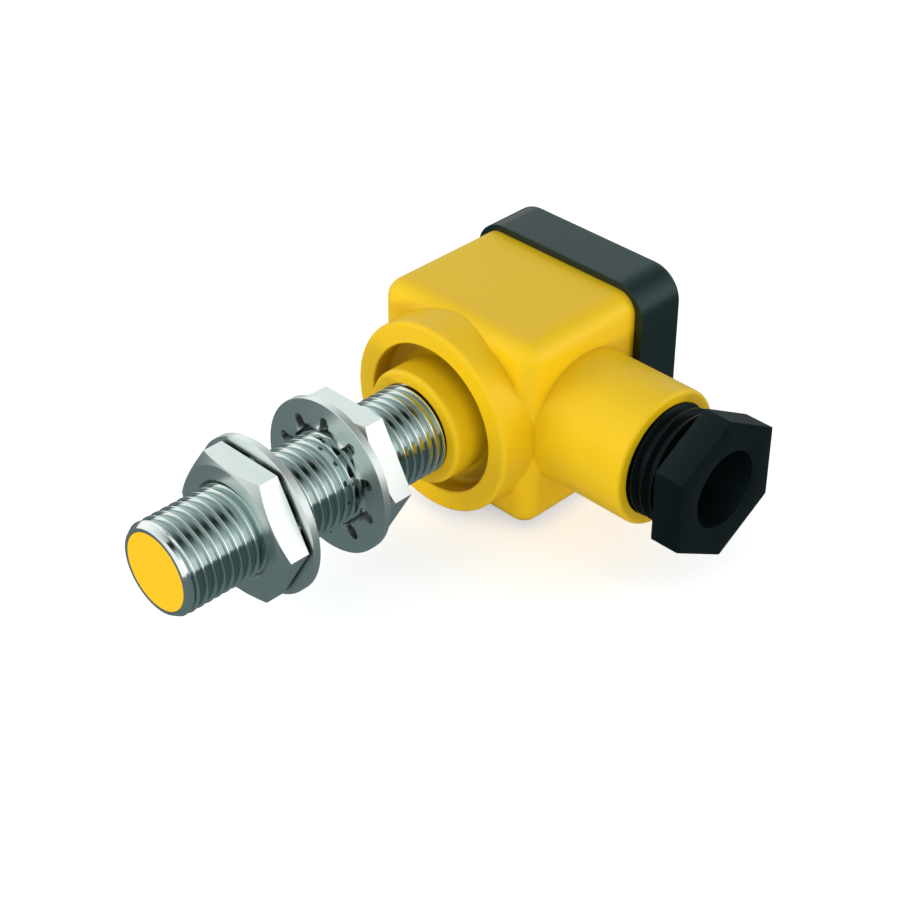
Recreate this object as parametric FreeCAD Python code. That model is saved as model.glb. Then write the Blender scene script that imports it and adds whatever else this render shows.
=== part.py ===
import FreeCAD, Part
import math
import os
from FreeCAD import Vector

os.makedirs("parts", exist_ok=True)

# Inductive proximity sensor: a threaded metal barrel with two lock nuts and two lock washers,
# carried by a moulded terminal housing with a rear cover and a cable gland.
# All sizes are millimetres. The origin is the centre of the sensing face, the barrel runs
# back along +Y, the cable gland points along +X and +Z is up.

# Threaded barrel. It is modelled at the thread's outer diameter.
BARREL_DIA = 12.0
BARREL_WALL = 1.4
BARREL_FREE_LENGTH = 40.5
BARREL_CHAMFER_RISE = 0.5
BARREL_CHAMFER_LENGTH = 0.8
BARREL_PITCH = 1.25
BARREL_RIDGE_HEIGHT = 0.4
BARREL_RIDGE_FRONT_RUN = 0.12
BARREL_RIDGE_CREST = 0.12
BARREL_RIDGE_REAR_RUN = 0.25

# Sensing cap, a cup whose lip closes the barrel's mouth
CAP_LIP_RISE = 0.4
CAP_LIP_LENGTH = 1.0
CAP_FRONT_WALL = 0.8
CAP_SIDE_WALL = 0.5
CAP_LENGTH = 7.5
CAP_FIT = 0.05

# Pot core, bobbin and winding
CORE_LENGTH = 3.6
CORE_POST_DIA = 2.8
CORE_RIM = 0.8
CORE_GROOVE_DEPTH = 2.6
CORE_FIT = 0.05
BOBBIN_HUB_WALL = 0.35
BOBBIN_FLANGE = 0.35
WINDING_RECESS = 0.2

# Narrow circuit board in the barrel, with its parts and the resin around them
BOARD_SIDE_CLEARANCE = 0.25
BOARD_THICKNESS = 0.8
BOARD_START_GAP = 0.6
BOARD_TAB_WIDTH = 4.6
BOARD_TAB_PROUD = 0.6
DRIVER_CHIP = (4.0, 5.0, 1.4)
DRIVER_CHIP_Y = 13.0
DRIVER_CHIP_COUNT = 2
DRIVER_CHIP_PITCH = 9.0
SMALL_PART = (1.4, 2.0, 0.7)
SMALL_PART_Y = 10.0
SMALL_PART_COUNT = 5
SMALL_PART_PITCH = 6.0
RESIN_SETBACK = 4.5

# Lock nuts
NUT_ACROSS_FLATS = 17.0
NUT_THICKNESS = 3.4
NUT_CHAMFER_DEG = 25.0
NUT_FACE_INSET = 0.2
NUT_BORE_CLEARANCE = 0.05
NUT_MOUTH_CHAMFER = 0.35
FRONT_NUT_REAR_Y = 14.5

# Lock washers with twisted internal teeth
WASHER_OUTER_DIA = 20.5
WASHER_THICKNESS = 1.0
WASHER_TOOTH_COUNT = 10
WASHER_SLOT_WIDTH = 1.3
WASHER_SLOT_LENGTH = 1.75
WASHER_TIP_CLEARANCE = 0.45
WASHER_TWIST_DEG = 18.0
WASHER_TURN_DEG = 5.0
WASHER_TOOTH_GAP = 0.02
PANEL_GAP = 10.14

# Round nose of the terminal housing
INNER_BOSS_WALL = 1.68
INNER_BOSS_PROUD = 2.9
NOSE_GROOVE_WIDTH = 2.44
NOSE_GROOVE_DEPTH = 3.2
NOSE_RING_WALL = 2.88
NOSE_LENGTH = 4.1
NOSE_EDGE_RADIUS = 0.6
GROOVE_MOUTH_RADIUS = 0.25
GROOVE_FLOOR_RADIUS = 0.8

# Square chamber of the terminal housing
HOUSING_WIDTH = 26.1
HOUSING_HEIGHT = 26.6
HOUSING_DEPTH = 19.2
HOUSING_WALL = 2.0
HOUSING_CORNER_RADIUS = 2.8
HOUSING_EDGE_RADIUS = 2.5
CHAMBER_CORNER_RADIUS = 1.0
SCREW_POST_DIA = 4.4
SCREW_POST_INSET = 3.2

# Rear cover, its screws and its gasket
COVER_SIDE_OVERHANG = 1.2
COVER_TOP_OVERHANG = 0.95
COVER_DEPTH = 7.67
COVER_WALL = 2.1
COVER_CORNER_STEP = 1.6
COVER_EDGE_RADIUS = 0.8
COVER_SCREW_DIA = 2.5
COVER_SCREW_LENGTH = 11.0
COVER_SCREW_HEAD_DIA = 4.6
COVER_SCREW_HEAD_HEIGHT = 1.7
COVER_SCREW_SINK = 2.2
COVER_SCREW_CLEARANCE = 0.1
SCREW_CROSS_WIDTH = 0.7
SCREW_CROSS_DEPTH = 0.9
GASKET_WIDTH = 1.0
GASKET_HEIGHT = 0.9

# Terminal board and its block
TERMINAL_BOARD_GAP = 1.5
TERMINAL_BOARD_THICKNESS = 1.2
TERMINAL_BOARD_MARGIN = 2.05
POST_CLEARANCE = 0.3
BOARD_PAD_DIA = 2.4
BOARD_PAD_INSET = 2.6
TAB_SLOT_CLEARANCE = 0.1
POLE_COUNT = 3
POLE_PITCH = 5.08
BLOCK_DEPTH = 8.0
BLOCK_HEIGHT = 10.0
LEG_TO_TAB = 1.15
WIRE_HOLE_DIA = 3.0
WIRE_HOLE_HEIGHT = 3.4
CLAMP_SIDE = 3.8
CLAMP_FIT = 0.05
CLAMP_LEG_DIA = 0.9
CLAMP_LEG_PROUD = 0.5
CLAMP_SCREW_DIA = 2.5
CLAMP_SCREW_FIT = 0.02
CLAMP_SCREW_HEAD_DIA = 3.4
CLAMP_SCREW_HEAD_HEIGHT = 1.2
CLAMP_SCREW_SINK = 1.0
CLAMP_SCREW_SLOT = 0.6

# Cable gland
GLAND_Z = 0.25
GLAND_BOSS_WALL = 1.55
GLAND_BOSS_LENGTH = 13.65
GLAND_REAR_GAP = 0.2
GLAND_BOSS_EDGE_RADIUS = 0.6
GLAND_THREAD_DIA = 14.8
GLAND_THREAD_FIT = 0.05
GLAND_PITCH = 1.5
GLAND_RIDGE_HEIGHT = 0.75
GLAND_RIDGE_RUN = 0.48
GLAND_RIDGE_CREST = 0.24
GLAND_PASSAGE_STEP = 2.25
GLAND_HEX_ACROSS_FLATS = 17.0
GLAND_HEX_THICKNESS = 4.0
GLAND_THREAD_SHOWING = 5.1
GLAND_THREAD_ENGAGED = 3.7
GLAND_STEM_WALL = 2.3
SEAL_LENGTH = 4.0
SEAL_HOLE_DIA = 8.0
SEAL_FUNNEL = 0.8
THRUST_RING_THICKNESS = 1.0
THRUST_RING_GAP = 0.05

# Shared radii and planes worked out from the sizes above
BARREL_R = BARREL_DIA / 2
BORE_R = BARREL_R - BARREL_WALL
FACE_R = BORE_R + CAP_LIP_RISE
CAP_BODY_R = BORE_R - CAP_FIT
CAP_INNER_R = CAP_BODY_R - CAP_SIDE_WALL
CORE_R = CAP_INNER_R - CORE_FIT
CORE_REAR_Y = CAP_FRONT_WALL + CORE_LENGTH
CORE_GROOVE_R = CORE_R - CORE_RIM
BOARD_START_Y = CORE_REAR_Y + BOARD_START_GAP
WASHER_TIP_RADIUS = BARREL_R + WASHER_TIP_CLEARANCE
WASHER_SLOT_END_RADIUS = WASHER_TIP_RADIUS + WASHER_SLOT_LENGTH
INNER_BOSS_R = BARREL_R + INNER_BOSS_WALL
NOSE_GROOVE_R = INNER_BOSS_R + NOSE_GROOVE_WIDTH
NOSE_R = NOSE_GROOVE_R + NOSE_RING_WALL
NOSE_FRONT_Y = BARREL_FREE_LENGTH + INNER_BOSS_PROUD
HOUSING_FRONT_Y = NOSE_FRONT_Y + NOSE_LENGTH
HOUSING_REAR_Y = HOUSING_FRONT_Y + HOUSING_DEPTH
CHAMBER_FRONT_Y = HOUSING_FRONT_Y + HOUSING_WALL
CHAMBER_HALF_X = HOUSING_WIDTH / 2 - HOUSING_WALL
CHAMBER_HALF_Z = HOUSING_HEIGHT / 2 - HOUSING_WALL
SCREW_X = HOUSING_WIDTH / 2 - SCREW_POST_INSET
SCREW_Z = HOUSING_HEIGHT / 2 - SCREW_POST_INSET
COVER_REAR_Y = HOUSING_REAR_Y + COVER_DEPTH
SCREW_SEAT_Y = COVER_REAR_Y - COVER_SCREW_SINK
TERMINAL_BOARD_Y = CHAMBER_FRONT_Y + TERMINAL_BOARD_GAP
BLOCK_BASE_Y = TERMINAL_BOARD_Y + TERMINAL_BOARD_THICKNESS
BLOCK_CENTRE_X = -(BOARD_TAB_WIDTH + CLAMP_LEG_DIA) / 2 - LEG_TO_TAB
WIRE_HOLE_Y = BLOCK_BASE_Y + WIRE_HOLE_HEIGHT
GLAND_THREAD_R = GLAND_THREAD_DIA / 2
GLAND_BORE_R = GLAND_THREAD_R + GLAND_THREAD_FIT
GLAND_BOSS_R = GLAND_BORE_R + GLAND_BOSS_WALL
GLAND_CABLE_R = GLAND_THREAD_R - GLAND_STEM_WALL
GLAND_Y = HOUSING_REAR_Y - GLAND_REAR_GAP - GLAND_BOSS_R
GLAND_BORE_FLOOR_X = HOUSING_WIDTH / 2
GLAND_BOSS_END_X = GLAND_BORE_FLOOR_X + GLAND_BOSS_LENGTH
GLAND_HEX_X = GLAND_BOSS_END_X + GLAND_THREAD_SHOWING
GLAND_SCREW_TIP_X = GLAND_BOSS_END_X - GLAND_THREAD_ENGAGED


def round_bar_y(radius, y0, y1, x=0.0, z=0.0):
    """Cylinder along the barrel's direction."""
    return Part.makeCylinder(radius, y1 - y0, Vector(x, y0, z), Vector(0, 1, 0))


def round_bar_x(radius, x0, x1, y=GLAND_Y, z=GLAND_Z):
    """Cylinder along the gland's direction."""
    return Part.makeCylinder(radius, x1 - x0, Vector(x0, y, z), Vector(1, 0, 0))


def block(x0, x1, y0, y1, z0, z1):
    """Box between two corners."""
    return Part.makeBox(x1 - x0, y1 - y0, z1 - z0, Vector(x0, y0, z0))


def turned(points):
    """Solid turned about the barrel's axis from a closed outline of (radius, y) points."""
    corners = [Vector(radius, y, 0) for radius, y in points]
    outline = Part.makePolygon(corners + [corners[0]])
    return Part.Face(outline).revolve(Vector(0, 0, 0), Vector(0, 1, 0), 360)


def square_bar(half_x, half_z, corner, y0, y1):
    """Bar along Y of rectangular section with its four long edges rounded."""
    bar = block(-half_x, half_x, y0, y1, -half_z, half_z)
    long_edges = [edge for edge in bar.Edges if edge.BoundBox.YLength > (y1 - y0) / 2]
    return bar.makeFillet(corner, long_edges)


def edges_at_y(shape, y, slack=1e-4):
    """Edges that lie in the plane at the given y."""
    return [edge for edge in shape.Edges
            if abs(edge.BoundBox.YMin - y) < slack and abs(edge.BoundBox.YMax - y) < slack]


def circle_at(shape, radius, y, slack=1e-4):
    """Circular edges of one radius in one plane across the barrel's axis."""
    return [edge for edge in edges_at_y(shape, y)
            if isinstance(edge.Curve, Part.Circle) and abs(edge.Curve.Radius - radius) < slack]


def hexagon(across_flats, first_corner_deg):
    """Corner radius and corner angles of a hexagon."""
    corner_radius = across_flats / 2 / math.cos(math.pi / 6)
    angles = [math.radians(first_corner_deg + 60 * side) for side in range(6)]
    return corner_radius, angles


def screw_corners():
    """Places of the four cover screws."""
    return [(side_x * SCREW_X, side_z * SCREW_Z) for side_x in (-1, 1) for side_z in (-1, 1)]


def export(node, solids):
    """Write one node as a STEP file."""
    shape = solids[0] if len(solids) == 1 else Part.makeCompound(solids)
    for solid in solids:
        if not solid.isValid() or len(solid.Solids) != 1:
            raise ValueError("node " + node + " is not one sound solid")
    shape.exportStep("parts/" + node + ".step")


def ridge_outline(start, end, pitch, crest_r, height, front_run, crest, rear_run):
    """Corners (radius, place) of a row of thread ridges, from the first groove to the last crest."""
    root_r = crest_r - height
    ridge = front_run + crest + rear_run
    corners = []
    for turn in range(math.ceil((end - start) / pitch)):
        front = start + (turn + 1) * pitch - ridge
        corners.append((root_r, front))
        corners.append((crest_r, front + front_run))
        corners.append((crest_r, front + front_run + crest))
        corners.append((root_r, front + ridge))
    return corners[:-1]


def make_threaded_barrel():
    """Plated tube with a chamfered mouth, a counterbore for the cap's lip and the turns of its thread."""
    mouth_r = FACE_R + CAP_FIT
    thread = ridge_outline(BARREL_CHAMFER_LENGTH, BARREL_FREE_LENGTH, BARREL_PITCH, BARREL_R,
                           BARREL_RIDGE_HEIGHT, BARREL_RIDGE_FRONT_RUN, BARREL_RIDGE_CREST,
                           BARREL_RIDGE_REAR_RUN)
    return turned([
        (mouth_r, 0),
        (BARREL_R - BARREL_CHAMFER_RISE, 0),
        (BARREL_R, BARREL_CHAMFER_LENGTH),
        (BARREL_R - BARREL_RIDGE_HEIGHT, BARREL_CHAMFER_LENGTH + BARREL_RIDGE_REAR_RUN),
    ] + thread + [
        (BARREL_R, CHAMBER_FRONT_Y),
        (BORE_R, CHAMBER_FRONT_Y),
        (BORE_R, CAP_LIP_LENGTH),
        (mouth_r, CAP_LIP_LENGTH),
    ])


def make_sensing_cap():
    """Thin cup with a lip, its flat front is the sensing face."""
    return turned([
        (0, 0),
        (FACE_R, 0),
        (FACE_R, CAP_LIP_LENGTH),
        (CAP_BODY_R, CAP_LIP_LENGTH),
        (CAP_BODY_R, CAP_LENGTH),
        (CAP_INNER_R, CAP_LENGTH),
        (CAP_INNER_R, CAP_FRONT_WALL),
        (0, CAP_FRONT_WALL),
    ])


def make_ferrite_core():
    """Pot core with a centre post, open towards the sensing face."""
    groove_floor_y = CAP_FRONT_WALL + CORE_GROOVE_DEPTH
    return turned([
        (0, CAP_FRONT_WALL),
        (CORE_POST_DIA / 2, CAP_FRONT_WALL),
        (CORE_POST_DIA / 2, groove_floor_y),
        (CORE_GROOVE_R, groove_floor_y),
        (CORE_GROOVE_R, CAP_FRONT_WALL),
        (CORE_R, CAP_FRONT_WALL),
        (CORE_R, CORE_REAR_Y),
        (0, CORE_REAR_Y),
    ])


def bobbin_radii():
    """Inner, hub and flange radius of the bobbin in the core's groove."""
    inner = CORE_POST_DIA / 2 + CORE_FIT
    return inner, inner + BOBBIN_HUB_WALL, CORE_GROOVE_R - CORE_FIT


def make_coil_bobbin():
    """Spool that fills the core's groove."""
    inner, hub, flange = bobbin_radii()
    front_y = CAP_FRONT_WALL
    rear_y = CAP_FRONT_WALL + CORE_GROOVE_DEPTH
    return turned([
        (inner, front_y),
        (flange, front_y),
        (flange, front_y + BOBBIN_FLANGE),
        (hub, front_y + BOBBIN_FLANGE),
        (hub, rear_y - BOBBIN_FLANGE),
        (flange, rear_y - BOBBIN_FLANGE),
        (flange, rear_y),
        (inner, rear_y),
    ])


def make_coil_winding():
    """Turns of copper wire between the bobbin's flanges, as one ring."""
    inner, hub, flange = bobbin_radii()
    outer = flange - WINDING_RECESS
    front_y = CAP_FRONT_WALL + BOBBIN_FLANGE
    rear_y = CAP_FRONT_WALL + CORE_GROOVE_DEPTH - BOBBIN_FLANGE
    return turned([(hub, front_y), (outer, front_y), (outer, rear_y), (hub, rear_y)])


def make_circuit_board():
    """Narrow board with a tab that stands through the terminal board."""
    half_width = CAP_INNER_R - BOARD_SIDE_CLEARANCE
    half_tab = BOARD_TAB_WIDTH / 2
    tab_end_y = BLOCK_BASE_Y + BOARD_TAB_PROUD
    half_board = BOARD_THICKNESS / 2
    strip = block(-half_width, half_width, BOARD_START_Y, CHAMBER_FRONT_Y, -half_board, half_board)
    tab = block(-half_tab, half_tab, CHAMBER_FRONT_Y, tab_end_y, -half_board, half_board)
    return strip.fuse(tab).removeSplitter()


def make_board_components():
    """Driver chips on the upper side of the board and small parts in a row below it."""
    parts = []
    half_board = BOARD_THICKNESS / 2
    width, length, height = DRIVER_CHIP
    for place in range(DRIVER_CHIP_COUNT):
        y = DRIVER_CHIP_Y + place * DRIVER_CHIP_PITCH
        parts.append(block(-width / 2, width / 2, y, y + length, half_board, half_board + height))
    width, length, height = SMALL_PART
    for place in range(SMALL_PART_COUNT):
        y = SMALL_PART_Y + place * SMALL_PART_PITCH
        side = -1 if place % 2 else 1
        x = side * width
        parts.append(block(x - width / 2, x + width / 2, y, y + length, -half_board - height, -half_board))
    return parts


def make_potting_resin(board, components):
    """Resin that fills the cap and the barrel around the board and its parts."""
    end_y = CHAMBER_FRONT_Y - RESIN_SETBACK
    resin = turned([
        (0, CORE_REAR_Y),
        (CAP_INNER_R, CORE_REAR_Y),
        (CAP_INNER_R, CAP_LENGTH),
        (BORE_R, CAP_LENGTH),
        (BORE_R, end_y),
        (0, end_y),
    ])
    return resin.cut([board] + components)


def make_lock_nut(front_y):
    """Hexagon nut with a chamfered front and a countersunk thread at both ends."""
    corner_radius, angles = hexagon(NUT_ACROSS_FLATS, 0)
    rear_y = front_y + NUT_THICKNESS
    corners = [Vector(corner_radius * math.cos(angle), front_y, corner_radius * math.sin(angle))
               for angle in angles]
    prism = Part.Face(Part.makePolygon(corners + [corners[0]])).extrude(Vector(0, NUT_THICKNESS, 0))
    face_r = NUT_ACROSS_FLATS / 2 - NUT_FACE_INSET
    slope = math.tan(math.radians(NUT_CHAMFER_DEG))
    cone_r = face_r + NUT_THICKNESS / slope
    envelope = turned([(0, front_y), (face_r, front_y), (cone_r, rear_y), (0, rear_y)])
    bore_r = BARREL_R + NUT_BORE_CLEARANCE
    mouth_r = bore_r + NUT_MOUTH_CHAMFER
    bore = turned([
        (0, front_y),
        (mouth_r, front_y),
        (bore_r, front_y + NUT_MOUTH_CHAMFER),
        (bore_r, rear_y - NUT_MOUTH_CHAMFER),
        (mouth_r, rear_y),
        (0, rear_y),
    ])
    return prism.common(envelope).cut(bore)


def tooth_half_width(radius):
    """Half the width left between two slots at a radius."""
    return radius * math.sin(math.pi / WASHER_TOOTH_COUNT) - WASHER_SLOT_WIDTH / 2


def tooth_rise():
    """How far a twisted tooth's tip stands proud of the washer's face."""
    twist = math.radians(WASHER_TWIST_DEG)
    half_thickness = WASHER_THICKNESS / 2
    tip = tooth_half_width(WASHER_TIP_RADIUS) * math.sin(twist) + half_thickness * math.cos(twist)
    return tip - half_thickness


def washer_step():
    """From a nut's face to the flat face of the washer beside it."""
    return tooth_rise() + WASHER_TOOTH_GAP


def tooth_section(radius, twist_deg):
    """Rectangular section of a tooth across a radius, turned by its twist."""
    half_width = tooth_half_width(radius)
    half_thickness = WASHER_THICKNESS / 2
    cosine = math.cos(math.radians(twist_deg))
    sine = math.sin(math.radians(twist_deg))
    corners = []
    for across, along in ((-1, -1), (1, -1), (1, 1), (-1, 1)):
        u = across * half_width
        v = along * half_thickness
        corners.append(Vector(radius, u * sine + v * cosine, u * cosine - v * sine))
    return Part.makePolygon(corners + [corners[0]])


def make_lock_washer(front_y):
    """Flat ring with round-ended slots between teeth that twist more towards their tips."""
    slot_r = WASHER_SLOT_WIDTH / 2
    slot_centre_r = WASHER_SLOT_END_RADIUS - slot_r
    ring_inner_r = slot_centre_r
    middle_y = front_y + WASHER_THICKNESS / 2
    ring = turned([
        (ring_inner_r, -WASHER_THICKNESS / 2),
        (WASHER_OUTER_DIA / 2, -WASHER_THICKNESS / 2),
        (WASHER_OUTER_DIA / 2, WASHER_THICKNESS / 2),
        (ring_inner_r, WASHER_THICKNESS / 2),
    ])
    root = tooth_section(ring_inner_r, 0)
    tip = tooth_section(WASHER_TIP_RADIUS, WASHER_TWIST_DEG)
    heel = tooth_section(WASHER_SLOT_END_RADIUS, 0)
    blade = Part.makeLoft([tip, root], True, True)
    stem = Part.makeLoft([root, heel], True, True)
    tooth = blade.fuse(stem)
    slot = round_bar_y(slot_r, -WASHER_THICKNESS, WASHER_THICKNESS, slot_centre_r)
    slot = slot.fuse(block(0, slot_centre_r, -WASHER_THICKNESS, WASHER_THICKNESS, -slot_r, slot_r))
    pitch_deg = 360.0 / WASHER_TOOTH_COUNT
    axis = Vector(0, 1, 0)
    centre = Vector(0, 0, 0)
    teeth = []
    slots = []
    for place in range(WASHER_TOOTH_COUNT):
        turn = WASHER_TURN_DEG + place * pitch_deg
        teeth.append(tooth.copy().rotate(centre, axis, turn))
        slots.append(slot.copy().rotate(centre, axis, turn + pitch_deg / 2))
    washer = ring.cut(slots).fuse(teeth).removeSplitter()
    washer.translate(Vector(0, middle_y, 0))
    return washer


def make_nose():
    """Round nose with its ring groove and the inner boss around the barrel."""
    floor_y = NOSE_FRONT_Y + NOSE_GROOVE_DEPTH
    nose = turned([
        (BARREL_R, BARREL_FREE_LENGTH),
        (INNER_BOSS_R, BARREL_FREE_LENGTH),
        (INNER_BOSS_R, floor_y),
        (NOSE_GROOVE_R, floor_y),
        (NOSE_GROOVE_R, NOSE_FRONT_Y),
        (NOSE_R, NOSE_FRONT_Y),
        (NOSE_R, CHAMBER_FRONT_Y + HOUSING_WALL),
        (BARREL_R, CHAMBER_FRONT_Y + HOUSING_WALL),
    ])
    outer_edges = circle_at(nose, INNER_BOSS_R, BARREL_FREE_LENGTH) + circle_at(nose, NOSE_R, NOSE_FRONT_Y)
    nose = nose.makeFillet(NOSE_EDGE_RADIUS, outer_edges)
    nose = nose.makeFillet(GROOVE_MOUTH_RADIUS, circle_at(nose, NOSE_GROOVE_R, NOSE_FRONT_Y))
    floor_edges = circle_at(nose, INNER_BOSS_R, floor_y) + circle_at(nose, NOSE_GROOVE_R, floor_y)
    return nose.makeFillet(GROOVE_FLOOR_RADIUS, floor_edges)


def make_gland_boss():
    """Round boss for the gland, its end edge rounded."""
    boss = round_bar_x(GLAND_BOSS_R, CHAMBER_HALF_X - HOUSING_WALL, GLAND_BOSS_END_X)
    end_edges = [edge for edge in boss.Edges if abs(edge.BoundBox.XMin - GLAND_BOSS_END_X) < 1e-4]
    return boss.makeFillet(GLAND_BOSS_EDGE_RADIUS, end_edges)


def make_terminal_housing():
    """Moulded housing: square chamber, round nose and gland boss in one piece."""
    shell = square_bar(HOUSING_WIDTH / 2, HOUSING_HEIGHT / 2, HOUSING_CORNER_RADIUS,
                       HOUSING_FRONT_Y, HOUSING_REAR_Y)
    shell = shell.makeFillet(HOUSING_EDGE_RADIUS, edges_at_y(shell, HOUSING_FRONT_Y))
    shell = shell.fuse([make_nose(), make_gland_boss()])
    chamber = square_bar(CHAMBER_HALF_X, CHAMBER_HALF_Z, CHAMBER_CORNER_RADIUS,
                         CHAMBER_FRONT_Y, HOUSING_REAR_Y)
    posts = [round_bar_y(SCREW_POST_DIA / 2, CHAMBER_FRONT_Y, HOUSING_REAR_Y, x, z)
             for x, z in screw_corners()]
    half_x, half_z = terminal_board_halves()
    pad_x = half_x - BOARD_PAD_INSET
    pad_z = half_z - BOARD_PAD_INSET
    pads = [round_bar_y(BOARD_PAD_DIA / 2, CHAMBER_FRONT_Y, TERMINAL_BOARD_Y, x, z)
            for x in (-pad_x, pad_x) for z in (-pad_z, pad_z)]
    chamber = chamber.cut(posts + pads)
    cuts = [chamber]
    cuts.append(round_bar_y(BARREL_R, BARREL_FREE_LENGTH, CHAMBER_FRONT_Y))
    cuts.append(round_bar_x(GLAND_BORE_R, GLAND_BORE_FLOOR_X, GLAND_BOSS_END_X))
    cuts.append(round_bar_x(GLAND_BORE_R - GLAND_PASSAGE_STEP, 0, GLAND_BORE_FLOOR_X))
    for x, z in screw_corners():
        cuts.append(round_bar_y(COVER_SCREW_DIA / 2, SCREW_SEAT_Y - COVER_SCREW_LENGTH, HOUSING_REAR_Y, x, z))
    return shell.cut(cuts)


def gasket_ring():
    """Square ring of the gasket along the middle of the chamber's rim."""
    inset = (HOUSING_WALL - GASKET_WIDTH) / 2
    rear_y = HOUSING_REAR_Y + GASKET_HEIGHT
    outer = square_bar(HOUSING_WIDTH / 2 - inset, HOUSING_HEIGHT / 2 - inset,
                       HOUSING_CORNER_RADIUS - inset, HOUSING_REAR_Y, rear_y)
    inner = square_bar(CHAMBER_HALF_X + inset, CHAMBER_HALF_Z + inset,
                       HOUSING_CORNER_RADIUS - inset - GASKET_WIDTH, HOUSING_REAR_Y, rear_y)
    return outer.cut(inner)


def make_rear_cover(gasket):
    """Hollow cover with sunk screw seats and a groove for the gasket."""
    half_x = HOUSING_WIDTH / 2 + COVER_SIDE_OVERHANG
    half_z = HOUSING_HEIGHT / 2 + COVER_TOP_OVERHANG
    corner = HOUSING_CORNER_RADIUS + COVER_CORNER_STEP
    cover = square_bar(half_x, half_z, corner, HOUSING_REAR_Y, COVER_REAR_Y)
    cover = cover.makeFillet(COVER_EDGE_RADIUS, edges_at_y(cover, COVER_REAR_Y))
    hollow = square_bar(CHAMBER_HALF_X, CHAMBER_HALF_Z, CHAMBER_CORNER_RADIUS,
                        HOUSING_REAR_Y, COVER_REAR_Y - COVER_WALL)
    seat_r = COVER_SCREW_HEAD_DIA / 2 + COVER_SCREW_CLEARANCE
    hole_r = COVER_SCREW_DIA / 2 + COVER_SCREW_CLEARANCE
    post_r = seat_r + HOUSING_WALL / 2
    posts = [round_bar_y(post_r, HOUSING_REAR_Y, COVER_REAR_Y, x, z) for x, z in screw_corners()]
    cuts = [hollow.cut(posts), gasket]
    for x, z in screw_corners():
        cuts.append(round_bar_y(seat_r, SCREW_SEAT_Y, COVER_REAR_Y, x, z))
        cuts.append(round_bar_y(hole_r, HOUSING_REAR_Y, SCREW_SEAT_Y, x, z))
    return cover.cut(cuts)


def make_cover_screw(x, z):
    """Pan-head screw with a cross recess, its shank in the chamber's corner post."""
    head_top_y = SCREW_SEAT_Y + COVER_SCREW_HEAD_HEIGHT
    head_r = COVER_SCREW_HEAD_DIA / 2
    shank = round_bar_y(COVER_SCREW_DIA / 2, SCREW_SEAT_Y - COVER_SCREW_LENGTH, SCREW_SEAT_Y, x, z)
    head = round_bar_y(head_r, SCREW_SEAT_Y, head_top_y, x, z)
    screw = shank.fuse(head)
    reach = head_r * 0.6
    half = SCREW_CROSS_WIDTH / 2
    floor_y = head_top_y - SCREW_CROSS_DEPTH
    cross = [block(x - reach, x + reach, floor_y, head_top_y, z - half, z + half),
             block(x - half, x + half, floor_y, head_top_y, z - reach, z + reach)]
    return screw.cut(cross)


def pole_places():
    """Heights of the terminal poles across the block."""
    return [(pole - (POLE_COUNT - 1) / 2) * POLE_PITCH for pole in range(POLE_COUNT)]


def terminal_board_halves():
    """Half width and half height of the board across the chamber."""
    return CHAMBER_HALF_X - TERMINAL_BOARD_MARGIN, CHAMBER_HALF_Z - TERMINAL_BOARD_MARGIN


def make_terminal_board():
    """Board across the chamber, cut out around the screw posts and slotted for the tab."""
    half_x, half_z = terminal_board_halves()
    board = block(-half_x, half_x, TERMINAL_BOARD_Y, BLOCK_BASE_Y, -half_z, half_z)
    slot_x = BOARD_TAB_WIDTH / 2 + TAB_SLOT_CLEARANCE
    slot_z = BOARD_THICKNESS / 2 + TAB_SLOT_CLEARANCE
    cuts = [block(-slot_x, slot_x, TERMINAL_BOARD_Y, BLOCK_BASE_Y, -slot_z, slot_z)]
    post_r = SCREW_POST_DIA / 2 + POST_CLEARANCE
    for x, z in screw_corners():
        cuts.append(round_bar_y(post_r, TERMINAL_BOARD_Y, BLOCK_BASE_Y, x, z))
    leg_r = CLAMP_LEG_DIA / 2 + CLAMP_FIT
    for z in pole_places():
        cuts.append(round_bar_y(leg_r, TERMINAL_BOARD_Y, BLOCK_BASE_Y, BLOCK_CENTRE_X, z))
    return board.cut(cuts)


def make_terminal_block():
    """Three-pole block: wires enter from the gland's side and the screws face the cover."""
    half_x = BLOCK_DEPTH / 2
    half_z = POLE_COUNT * POLE_PITCH / 2
    top_y = BLOCK_BASE_Y + BLOCK_HEIGHT
    half_clamp = CLAMP_SIDE / 2 + CLAMP_FIT
    body = block(BLOCK_CENTRE_X - half_x, BLOCK_CENTRE_X + half_x, BLOCK_BASE_Y, top_y, -half_z, half_z)
    cuts = []
    for z in pole_places():
        cuts.append(block(BLOCK_CENTRE_X - half_clamp, BLOCK_CENTRE_X + half_clamp,
                          WIRE_HOLE_Y - half_clamp, WIRE_HOLE_Y + half_clamp,
                          z - half_clamp, z + half_clamp))
        cuts.append(round_bar_x(WIRE_HOLE_DIA / 2, BLOCK_CENTRE_X, BLOCK_CENTRE_X + half_x, WIRE_HOLE_Y, z))
        cuts.append(round_bar_y(CLAMP_SCREW_HEAD_DIA / 2 + CLAMP_FIT, WIRE_HOLE_Y, top_y, BLOCK_CENTRE_X, z))
        cuts.append(round_bar_y(CLAMP_LEG_DIA / 2 + CLAMP_FIT, BLOCK_BASE_Y, WIRE_HOLE_Y, BLOCK_CENTRE_X, z))
    tab_half_x = BOARD_TAB_WIDTH / 2 + TAB_SLOT_CLEARANCE
    tab_half_z = BOARD_THICKNESS / 2 + TAB_SLOT_CLEARANCE
    cuts.append(block(-tab_half_x, tab_half_x, BLOCK_BASE_Y,
                      BLOCK_BASE_Y + BOARD_TAB_PROUD + TAB_SLOT_CLEARANCE, -tab_half_z, tab_half_z))
    return body.cut(cuts)


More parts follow.
